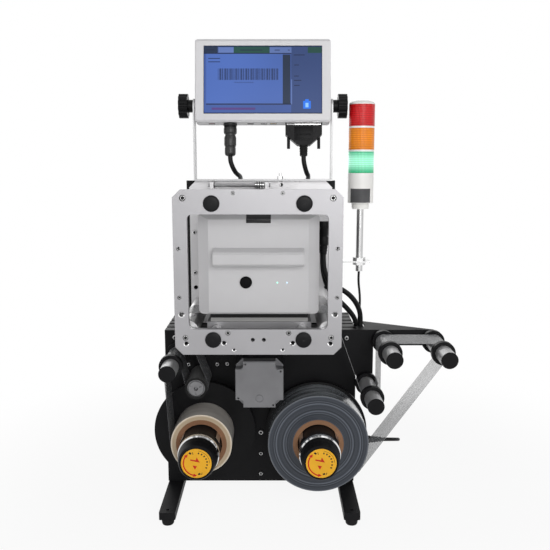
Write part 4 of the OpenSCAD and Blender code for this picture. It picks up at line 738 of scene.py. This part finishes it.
def screenRoute(u, overX, endX):
    start = [fromTilt(u, 0, v) for v in leadSet["screenStart"]]
    x = start[0].x
    over = [(x + share * (overX - x), y, z) for share, y, z in leadSet["screenOver"]]
    return start + over + [(overX + share * (endX - overX), y, z) for share, y, z in leadSet["screenDown"]]


def coilLine(c):
    turns = []
    for k in range(c["turns"] * c["perTurn"] + 1):
        a = radians(-90 - 360 * k / c["perTurn"])
        rise = c["low"] + c["step"] * k / c["perTurn"]
        turns.append(Vector((c["x"] + c["radius"] * cos(a), c["y"] + c["radius"] * sin(a), rise)))
    return turns


def tailLine(start, s):
    drop = start.z - s["low"]
    route = [start + Vector((x, y, -share * drop)) for x, y, share in s["route"]]
    return smoothed(route, leadSet["steps"]["tail"])


for side, across in leadSet["screen"].items():
    line = smoothed(screenRoute(*across), leadSet["steps"]["screen"])
    lead = makeLead("screenLead" + side, line, leadSet["sheath"]["screen"])
    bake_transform(lead)
    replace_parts(lead, "screen_leads")
    declareLead(lead, line)

printLeads = {}
for row, route in leadSet["print"].items():
    line = smoothed(route, leadSet["steps"]["print"])
    printLeads[row] = (makeLead("printLead" + row, line, leadSet["sheath"]["print"]), line)

towerLine = smoothed(leadSet["tower"], leadSet["steps"]["tower"])
towerLead = makeLead("towerLead", towerLine, leadSet["sheath"]["tower"])
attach(towerLead, "machine")
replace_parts(towerLead, "machine_leads")
declareLead(towerLead, towerLine)

coil = coilLine(leadSet["coil"])
runIn = smoothed(leadSet["mains"], leadSet["steps"]["mains"])
mainsLine = runIn + coil + tailLine(coil[-1], leadSet["tail"])
mainsLead = makeLead("mainsLead", mainsLine, leadSet["sheath"]["mains"])
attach(mainsLead, "machine")
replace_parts(mainsLead, "mains_lead", "lead_coil")
print("leads laid")


# shapes shared by the small pieces, all in mm before they are placed
def placeNew(bm, before, matrix, mat):
    fresh = [face for face in bm.faces if face not in before]
    for face in fresh:
        face.material_index = mat
    bmesh.ops.transform(bm, matrix=matrix @ Matrix.Scale(0.001, 4), verts=list({v for face in fresh for v in face.verts}))


def turnShape(bm, profile, matrix, mat=0, steps=48):  # outline of radius and height, turned about Z
    before = set(bm.faces)
    points = [bm.verts.new((radius, 0, height)) for radius, height in profile]
    edges = [bm.edges.new(pair) for pair in zip(points, points[1:])]
    bmesh.ops.spin(bm, geom=points + edges, cent=(0, 0, 0), axis=(0, 0, 1), angle=2 * pi, steps=steps, use_merge=True)
    placeNew(bm, before, matrix, mat)


def blockShape(bm, size, matrix, edge=0.0, segments=3, mat=0):
    before = set(bm.faces)
    made = bmesh.ops.create_cube(bm, size=1.0)["verts"]
    bmesh.ops.scale(bm, vec=size, verts=made)
    if edge:
        edges = list({e for v in made for e in v.link_edges})
        bmesh.ops.bevel(
            bm, geom=edges, offset=edge, offset_type="OFFSET", segments=segments, profile=0.5, affect="EDGES", material=-1,
            clamp_overlap=True,
        )
    placeNew(bm, before, matrix, mat)


def flatShape(bm, outline, thick, matrix, mat=0):  # outline in X and Y, given a thickness along Z
    before = set(bm.faces)
    face = bm.faces.new([bm.verts.new((x, y, 0)) for x, y in outline])
    lifted = bmesh.ops.extrude_face_region(bm, geom=[face])["geom"]
    bmesh.ops.translate(bm, vec=(0, 0, thick), verts=[v for v in lifted if isinstance(v, bmesh.types.BMVert)])
    placeNew(bm, before, matrix, mat)


def arcShape(bm, radius, width, start, end, thick, matrix, mat=0, steps=28):  # flat band of an arc, angles in degrees
    before = set(bm.faces)
    way = Vector((cos(radians(start)), sin(radians(start)), 0))
    ends = [bm.verts.new(way * (radius + side * width / 2)) for side in (-1, 1)]
    edge = bm.edges.new(ends)
    bmesh.ops.spin(bm, geom=ends + [edge], cent=(0, 0, 0), axis=(0, 0, 1), angle=radians(end - start), steps=steps)
    band = [face for face in bm.faces if face not in before]
    lifted = bmesh.ops.extrude_face_region(bm, geom=band)["geom"]
    bmesh.ops.translate(bm, vec=(0, 0, thick), verts=[v for v in lifted if isinstance(v, bmesh.types.BMVert)])
    placeNew(bm, before, matrix, mat)


def finishPiece(name, bm, mats, body, crease=35):
    bmesh.ops.remove_doubles(bm, verts=bm.verts, dist=0.000002)
    bmesh.ops.recalc_face_normals(bm, faces=bm.faces)
    mesh = bpy.data.meshes.new(name)
    bm.to_mesh(mesh)
    bm.free()
    for mat in mats:
        mesh.materials.append(finishes[mat])
    mesh.shade_smooth()
    mesh.set_sharp_from_angle(angle=radians(crease))
    piece = bpy.data.objects.new(name, mesh)
    scene.collection.objects.link(piece)
    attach(piece, body)
    return piece


def at(x, y, z):  # a place in mm with the shape's Z axis upwards
    return Matrix.Translation(mm(x, y, z))


def turned(angle, axis="Z"):  # a turn in degrees
    return Matrix.Rotation(radians(angle), 4, axis)


def moved(x, y, z):  # a shift in mm
    return Matrix.Translation(Vector((x, y, z)) / 1000)


def facing(x, y, z):  # a place in mm with the shape's Z axis towards the front
    return at(x, y, z) @ turned(90, "X")


def along(x, y, z):  # a place in mm with the shape's Z axis to the right
    return at(x, y, z) @ turned(90, "Y")


def onScreen(u, v, w):  # across, up and out of the screen, from its tilt axis
    axis = at(tiltSet["x"], tiltSet["y"], tiltSet["z"])
    return axis @ turned(-tiltSet["angle"], "X") @ turned(90, "X") @ moved(u, v, w)


def addGrips(bm, base, count, reach, rise, size, edge, mat=0):  # ribs around the base's Z axis
    for k in range(count):
        blockShape(bm, size, base @ turned(360 * k / count) @ moved(reach, 0, rise), edge, 2, mat)


# plugs of the print unit's leads, hanging from the ledge of its casing
hangSet = {
    "x": 120, "low": 484.8,
    "outline": [
        (0, 6), (5.1, 5), (5.15, 0), (6.1, 0.6), (6.5, 3.0), (6.0, 3.8), (6.0, 5.0), (7.0, 6.0), (7.1, 8.6), (6.6, 9.4),
        (6.6, 10.6), (7.6, 11.6), (7.8, 14.2), (7.3, 15.0), (7.3, 16.2), (8.6, 17.6), (9.0, 20), (9.0, 33), (8.5, 33.8),
        (8.5, 36), (9.0, 36.8), (9.0, 48), (9.8, 49.4), (9.8, 62.8), (9.2, 64), (0, 64),
    ],
    "grips": {"count": 18, "reach": 9.8, "rise": 56.25, "size": (0.9, 1.5, 11.5), "edge": 0.3},
}


def makeHangingPlug(name, y, s):
    bm = bmesh.new()
    spot = at(s["x"], y, s["low"])
    turnShape(bm, s["outline"], spot)
    addGrips(bm, spot, **s["grips"])
    return finishPiece(name, bm, ["mouldedBlack"], "machine")


for row, route in leadSet["print"].items():
    plug = makeHangingPlug("printPlug" + row, route[0][1], hangSet)
    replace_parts(plug, "machine_leads")
    lead, line = printLeads[row]
    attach(lead, "machine")
    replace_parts(lead, "machine_leads")
    declareLead(lead, line)

# plugs of the screen's leads at the back of the support plate
rearSet = {
    "x": (-40, 66), "z": 480, "back": 62,
    "outline": [
        (0, 0), (13, 0), (13, 20.6), (12.3, 21.2), (12.3, 22.6), (13, 23.2), (13, 30.4), (12.2, 32), (8.2, 32.4), (8.0, 34.2),
        (7.2, 34.9), (7.2, 35.8), (7.6, 36.6), (7.4, 38.0), (6.7, 38.6), (6.7, 39.5), (7.0, 40.2), (6.6, 41.5), (5.2, 42),
        (0, 42),
    ],
    "grips": {"count": 24, "reach": 13.0, "rise": 26.8, "size": (0.7, 1.5, 6.4), "edge": 0.25},
}


def makeRearPlugs(s):
    bm = bmesh.new()
    for x in s["x"]:
        back = facing(x, s["back"], s["z"]) @ turned(180, "X")
        turnShape(bm, s["outline"], back)
        addGrips(bm, back, **s["grips"])
    return finishPiece("rearPlugs", bm, ["mouldedBlack"], "machine")


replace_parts(makeRearPlugs(rearSet), "machine_leads")

# boots under the screen's two plugs
bootSet = {
    "edge": -34,  # the screen's lower edge, from its tilt axis
    "wide": {
        "u": 78, "mat": 0,
        "outline": [
            (7.05, -42), (8.2, -42.5), (8.4, -44.5), (7.2, -45.4), (7.2, -46.4), (8.0, -47.2), (8.0, -49.2), (7.15, -50),
            (7.15, -51), (7.8, -51.8), (7.7, -53.8), (7.1, -54.6), (7.1, -55.6), (7.5, -56.4), (7.3, -60.6), (7.05, -61.8),
        ],
        "grips": [],
    },
    "round": {
        "u": -63, "mat": 1,
        "outline": [
            (9.75, 0), (12.9, -0.2), (13.2, -0.8), (13.2, -3.4), (12.6, -4.2), (9.95, -4.8), (9.95, -6.6), (11.6, -7.2),
            (12.1, -8.2), (12.1, -18.4), (11.5, -19.6), (9.95, -20.2), (9.95, -23.4), (10.7, -24), (10.9, -25), (10.9, -43),
            (10.6, -43.8), (10.1, -44.2), (10.1, -45.8), (10.5, -46.4), (10.6, -47), (10.6, -56.5), (9.8, -60), (8.4, -61.4),
            (4.6, -61.8),
        ],
        "grips": [  # on its nut and on its sleeve
            {"count": 20, "reach": 12.1, "rise": -13.3, "size": (0.9, 1.9, 8.4), "edge": 0.25},
            {"count": 8, "reach": 10.9, "rise": -34.0, "size": (1.0, 4.6, 15.0), "edge": 0.25},
        ],
    },
}


def makeBoots(s):
    bm = bmesh.new()
    for boot in (s["wide"], s["round"]):
        spot = onScreen(boot["u"], s["edge"], 0) @ turned(-90, "X")
        turnShape(bm, boot["outline"], spot, boot["mat"])
        for grips in boot["grips"]:
            addGrips(bm, spot, mat=boot["mat"], **grips)
    return finishPiece("plugBoots", bm, ["rubberBlack", "bootGrey"], "screen_unit")


makeBoots(bootSet)

# front of the wide plug, and its metal shell with a row of contacts drawn dark as painted shade in their holes
plugFrontSet = {
    "u": 78, "face": 7.5, "panel": ((36, 26, 1.0), -54), "ridge": ((29, 9, 1.9), -59), "edge": 0.45,
    "shell": ((65, 3.4, 1.2), -36.0), "shellEdge": 0.3, "contacts": 24, "contact": (1.1, 2.2, 0.3), "pitch": 2.55,
}


def makePlugFront(s):
    bm = bmesh.new()
    for key in ("panel", "ridge"):
        size, v = s[key]
        blockShape(bm, size, onScreen(s["u"], v, s["face"]), s["edge"], 2)
    size, v = s["shell"]
    blockShape(bm, size, onScreen(s["u"], v, s["face"]), s["shellEdge"], 2, 1)
    for k in range(s["contacts"]):
        u = s["u"] + (k - (s["contacts"] - 1) / 2) * s["pitch"]
        blockShape(bm, s["contact"], onScreen(u, v, s["face"] + size[2] / 2), mat=2)
    return finishPiece("widePlugFront", bm, ["mouldedBlack", "chromeAndPaintedGlint", "paintedHoleShade"], "screen_unit")


makePlugFront(plugFrontSet)

# sockets inside the recesses of the screen's lower edge, their mouths dark as painted shade
insertSet = {
    "rise": -32.4, "edge": 0.5, "mouth": (0.6, 0.5), "mouthDepth": 0.5,  # mouth as shares of the socket
    "sockets": [
        (-101.2, (3.6, 2.4, 6.0), "socketRed"), (-96.4, (3.6, 2.4, 6.0), "socketRed"),
        (-24, (8.4, 2.4, 5.0), "stackDark"), (2, (9.0, 2.4, 4.6), "turnedSteel"), (20, (9.4, 2.4, 5.4), "contactBrass"),
    ],
}


def makeInserts(s):
    bm = bmesh.new()
    mats = list(dict.fromkeys(mat for u, size, mat in s["sockets"])) + ["paintedHoleShade"]
    for u, size, mat in s["sockets"]:
        blockShape(bm, size, onScreen(u, s["rise"], 0), s["edge"], 2, mats.index(mat))
        mouth = (size[0] * s["mouth"][0], s["mouthDepth"], size[2] * s["mouth"][1])
        blockShape(bm, mouth, onScreen(u, s["rise"] - size[1] / 2, 0), mat=mats.index("paintedHoleShade"))
    return finishPiece("portSockets", bm, mats, "screen_unit")


makeInserts(insertSet)

# moulded connector at the machine, and the mains plug behind it on the floor
connectorSet = {
    "body": (33, 28, 21), "edge": 3.6, "x": 202, "y": 40, "z": 98,
    "shank": [(0, -28.5), (6.5, -28.5), (6.5, -15), (0, -15)],
    "boot": [
        (0, 15), (7.4, 15), (7.4, 20), (6.2, 20.8), (6.2, 22.2), (6.9, 23), (6.8, 25.4), (5.7, 26.2), (5.7, 27.6), (6.3, 28.4),
        (6.1, 30.8), (5.2, 31.6), (5.2, 33), (5.7, 33.8), (5.4, 36.4), (4.6, 37.2), (4.6, 38.6), (5.0, 39.4), (4.6, 43),
        (3.62, 43.6),
    ],
    "ridges": {"count": 5, "size": (1.6, 17, 0.9), "start": -8, "step": 4, "edge": 0.4},
}
plugSet = {
    "body": (26, 25, 21), "edge": 4.2, "x": -71.6, "y": 239, "z": 11,
    "boot": [
        (0, 10), (7.2, 10), (6.9, 15), (5.9, 15.8), (5.9, 17.2), (6.5, 18), (6.2, 20.4), (5.3, 21.2), (5.3, 22.6), (5.8, 23.4),
        (5.5, 26), (4.8, 26.8), (4.8, 28.2), (5.2, 29), (4.7, 34), (3.62, 35),
    ],
    "pinSpan": 6, "pinStart": -32, "pin": [(0, 0), (1.7, 0), (2.2, 0.7), (2.3, 1.8), (2.3, 19.5), (0, 19.5)],
    "ridges": {"count": 4, "size": (1.6, 0.9, 12), "start": -5, "step": 3.6, "edge": 0.4},
}


def mouldedBody(s, across):  # block and boot, with finger ridges on both sides, across from the middle
    bm = bmesh.new()
    blockShape(bm, s["body"], at(s["x"], s["y"], s["z"]), s["edge"], 4)
    turnShape(bm, s["boot"], along(s["x"], s["y"], s["z"]))
    r = s["ridges"]
    for side in (-1, 1):
        for k in range(r["count"]):
            spot = at(s["x"] + r["start"] + r["step"] * k, s["y"], s["z"]) @ moved(*(side * v for v in across))
            blockShape(bm, r["size"], spot, r["edge"], 2)
    return bm


def makeConnector(s):
    bm = mouldedBody(s, (0, 0, s["body"][2] / 2))
    turnShape(bm, s["shank"], along(s["x"], s["y"], s["z"]))
    return finishPiece("mainsConnector", bm, ["mouldedBlack"], "machine")


def makePlug(s):
    bm = mouldedBody(s, (0, s["body"][1] / 2, 0))
    for side in (-1, 1):
        turnShape(bm, s["pin"], along(s["x"] + s["pinStart"], s["y"] + side * s["pinSpan"], s["z"]), 1, 24)
    return finishPiece("mainsPlug", bm, ["mouldedBlack", "turnedSteel"], "machine")


tieSet = {"x": 130, "y": 256, "low": 5.7, "high": 45.2, "across": 8.2, "wide": 6, "thick": 0.5, "round": 3.4}


def makeTie(s):  # strap round the turns of the coil
    bm = bmesh.new()
    tall = s["high"] - s["low"]
    made = bmesh.ops.create_cube(bm, size=1.0)["verts"]
    bmesh.ops.scale(bm, vec=(s["across"], s["wide"], tall), verts=made)
    runs = [e for e in bm.edges if abs(e.verts[0].co.y - e.verts[1].co.y) > 1]
    bmesh.ops.delete(bm, geom=[f for f in bm.faces if abs(f.normal.y) > 0.5], context="FACES_ONLY")
    bmesh.ops.bevel(
        bm, geom=runs, offset=s["round"], offset_type="OFFSET", segments=5, profile=0.5, affect="EDGES", material=-1,
    )
    bmesh.ops.recalc_face_normals(bm, faces=bm.faces)
    bmesh.ops.solidify(bm, geom=bm.faces[:], thickness=s["thick"])
    placeNew(bm, set(), at(s["x"], s["y"], (s["low"] + s["high"]) / 2), 0)
    return finishPiece("coilTie", bm, ["blankLabel"], "machine", crease=50)


mainsConnector = makeConnector(connectorSet)
mainsPlug = makePlug(plugSet)
coilTie = makeTie(tieSet)
for piece in (mainsConnector, mainsPlug):
    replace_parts(piece, "lead_plugs")
declareLead(mainsLead, mainsLine)
print("plugs, boots and the coil's tie made")

# printed discs on the spindle knobs: arrow for spreading the keys, and plain ticks
discSet = {
    "face": -176.0, "radius": 26.6, "thick": 0.5, "edge": 0.12, "mark": 0.12, "sink": 0.02,  # marks sink in a little
    "arc": {"radius": 22.3, "width": 2.2, "start": 147, "end": 256},
    "head": 6.4, "lean": 1.0,  # arrowheads lean inwards
    "triangles": [[(0.9, 11.0), (-1.8, 3.2), (6.3, 1.9)], [(-6.5, -3.7), (-2.3, -11.4), (1.05, -4.7)]],
    "bar": ((-10.2, 6.4), (-0.6, 4.6), 2.7), "barShare": 0.7,  # lower than the triangle that it runs into
    "ticks": {"radius": 18.9, "start": 77, "step": -17, "count": 7, "size": (2.9, 2.3)},
    "fineArc": {"radius": 23.2, "width": 0.5, "start": 4, "end": 80},
    "endMarks": [
        (-10.5, 18.4, 4.2, 3.2, -30), (-5.8, 18.4, 1.0, 4.4, 12), (4.9, -19.4, 4.2, 3.0, 15), (9.2, -18.8, 1.0, 4.2, -20),
    ],
}


def makeKnobDisc(name, side, body, s):
    bm = bmesh.new()
    spot = facing(reelSet[side], s["face"], reelSet["height"])
    radius, thick, edge = s["radius"], s["thick"], s["edge"]
    turnShape(bm, [(0, 0), (radius, 0), (radius, thick - edge), (radius - edge, thick), (0, thick)], spot, 0, 72)
    top = spot @ moved(0, 0, thick - s["sink"])
    arc = s["arc"]
    arcShape(bm, arc["radius"], arc["width"], arc["start"], arc["end"], s["mark"], top, 1)
    h = s["head"]
    for angle, way in ((arc["start"], -1), (arc["end"], 1)):  # an arrowhead at both ends of the arc
        tip = top @ turned(angle) @ moved(arc["radius"], 0, 0)
        flatShape(bm, [(-h / 2, 0), (h / 2, 0), (-s["lean"], way * h)], s["mark"], tip, 1)
    for corners in s["triangles"]:
        flatShape(bm, corners, s["mark"], top, 1)
    (ax, ay), (bx, by), wide = s["bar"]
    bar = [(ax, ay - wide / 2), (bx, by - wide / 2), (bx, by + wide / 2), (ax, ay + wide / 2)]
    flatShape(bm, bar, s["mark"] * s["barShare"], top, 1)
    t = s["ticks"]
    for k in range(t["count"]):
        tick = top @ turned(t["start"] + k * t["step"]) @ moved(t["radius"], 0, s["mark"] / 2)
        blockShape(bm, (*t["size"], s["mark"]), tick, mat=2)
    fine = s["fineArc"]
    arcShape(bm, fine["radius"], fine["width"], fine["start"], fine["end"], s["mark"], top, 2)
    for px, py, w, tall, angle in s["endMarks"]:
        blockShape(bm, (w, tall, s["mark"]), top @ moved(px, py, s["mark"] / 2) @ turned(angle), mat=2)
    return finishPiece(name, bm, ["discYellow", "markRed", "markBlack"], body)


makeKnobDisc("knobDiscLeft", "left", "knob_left", discSet)
makeKnobDisc("knobDiscRight", "right", "knob_right", discSet)
print("knob discs made")

# small pieces on the cassette's cover
coverSet = {
    "lights": [(32.0, "lightGreen"), (48.6, "lightBlue")], "lightZ": 453.5, "face": -132.0,
    "rim": [(2.05, -0.2), (2.05, 0.25), (1.85, 0.4), (1.5, 0.4), (1.5, -0.2)],
    "dome": [(1.48, -0.1), (1.48, 0.3), (1.2, 0.62), (0.675, 0.82), (0, 0.9)],
    "tag": {"size": (42, 10.4, 0.8), "y": -127.5, "z": 566.3, "slope": 45, "lift": 0.3, "edge": 0.3},
    "tagFold": {"size": (42, 6.6, 0.6), "z": 559.2, "edge": 0.2},
}


def makeIndicators(s):
    bm = bmesh.new()
    for k, (x, mat) in enumerate(s["lights"]):
        spot = facing(x, s["face"], s["lightZ"])
        turnShape(bm, s["rim"], spot, len(s["lights"]), 32)
        turnShape(bm, s["dome"], spot, k, 32)
    mats = [mat for x, mat in s["lights"]] + ["shellGrey"]
    return finishPiece("indicatorLights", bm, mats, "ribbon_cassette", crease=60)


def makeTag(s):  # bare label on the cover's upper bevel, folded over its edge
    tag, fold = s["tag"], s["tagFold"]
    bm = bmesh.new()
    slope = at(0, tag["y"], tag["z"]) @ turned(tag["slope"], "X")
    blockShape(bm, tag["size"], slope @ moved(0, 0, tag["lift"]), tag["edge"], 2)
    blockShape(bm, fold["size"], facing(0, s["face"], fold["z"]), fold["edge"], 2)
    return finishPiece("bareTag", bm, ["blankLabel"], "ribbon_cassette")


makeIndicators(coverSet)
makeTag(coverSet)

# lit picture on the touch screen: plain fields, bars and a button, drawn on a grid
pictureSet = {
    "left": -111.35, "top": 107.65, "wide": 222.7, "tall": 125.3, "out": 21.62, "layer": 0.05, "grid": (807, 459),
    "fields": [
        (0, 0, 807, 459, "picturePanel", 0), (0, 46, 598, 459, "pictureBlue", 1), (14, 50, 540, 396, "pictureField", 2),
        (0, 0, 92, 44, "pictureDark", 1), (98, 4, 203, 42, "picturePale", 1), (203, 0, 450, 44, "pictureGreen", 1),
        (450, 4, 600, 44, "picturePale", 1), (712, 2, 807, 44, "pictureGreen", 1), (0, 44, 598, 50, "pictureInk", 2),
        (540, 56, 592, 398, "pictureDark", 2), (597, 228, 604, 402, "picturePale", 2), (14, 396, 598, 404, "pictureInk", 2),
        (52, 424, 352, 440, "pictureRed", 2), (680, 378, 732, 432, "pictureIcon", 1), (694, 366, 718, 380, "pictureIcon", 1),
        (696, 392, 716, 422, "pictureIconPale", 2),
    ],
    "dashes": [
        (28, 82, 110), (28, 106, 110), (616, 58, 690), (618, 128, 650), (618, 205, 650), (618, 235, 668), (618, 270, 655),
        (248, 24, 400), (484, 24, 520), (575, 24, 588), (14, 22, 70),
    ],
    "dash": 5,
    "bars": {"left": 95, "right": 510, "top": 152, "bottom": 232, "count": 58, "thin": 1.6, "wider": 0.9},
    "under": {"left": 210, "right": 345, "top": 246, "bottom": 251, "count": 9, "wide": 7},
}


def makePicture(s):
    bm = bmesh.new()
    mats = []
    kx, ky = s["wide"] / s["grid"][0], s["tall"] / s["grid"][1]

    def field(x0, y0, x1, y1, mat, layer):
        if mat not in mats:
            mats.append(mat)
        spot = onScreen(
            s["left"] + (x0 + x1) / 2 * kx, s["top"] - (y0 + y1) / 2 * ky, s["out"] + s["layer"] * (layer + 0.5),
        )
        blockShape(bm, ((x1 - x0) * kx, (y1 - y0) * ky, s["layer"] * 0.98), spot, mat=mats.index(mat))

    def row(r, width):  # marks side by side, each as wide as width says
        for k in range(r["count"]):
            x = r["left"] + (r["right"] - r["left"]) * k / r["count"]
            field(x, r["top"], x + width(k), r["bottom"], "pictureInk", 3)

    for f in s["fields"]:
        field(*f)
    for x0, y, x1 in s["dashes"]:
        field(x0, y - s["dash"] / 2, x1, y + s["dash"] / 2, "pictureInk", 3)
    row(s["bars"], lambda k: s["bars"]["thin"] + (k * 7 % 5) * s["bars"]["wider"])  # upright bars of uneven width
    row(s["under"], lambda k: s["under"]["wide"])
    return finishPiece("screenPicture", bm, mats, "screen_unit")


makePicture(pictureSet)

# blank label on the signal tower's base
labelSet = {"radius": 25.02, "low": 580.0, "high": 607.0, "start": -146, "sweep": 97, "thick": 0.15}


def makeTowerLabel(s):
    bm = bmesh.new()
    way = Vector((cos(radians(s["start"])), sin(radians(s["start"])), 0)) * (s["radius"] + s["thick"])
    ends = [bm.verts.new((way.x, way.y, z)) for z in (0, s["high"] - s["low"])]
    edge = bm.edges.new(ends)
    bmesh.ops.spin(bm, geom=ends + [edge], cent=(0, 0, 0), axis=(0, 0, 1), angle=radians(s["sweep"]), steps=24)
    bmesh.ops.recalc_face_normals(bm, faces=bm.faces)
    bmesh.ops.solidify(bm, geom=bm.faces[:], thickness=s["thick"])
    placeNew(bm, set(), at(towerSpot["x"], towerSpot["y"], s["low"]), 0)
    return finishPiece("towerLabel", bm, ["labelGrey"], "machine")


makeTowerLabel(labelSet)
print("cover, screen and tower details made")
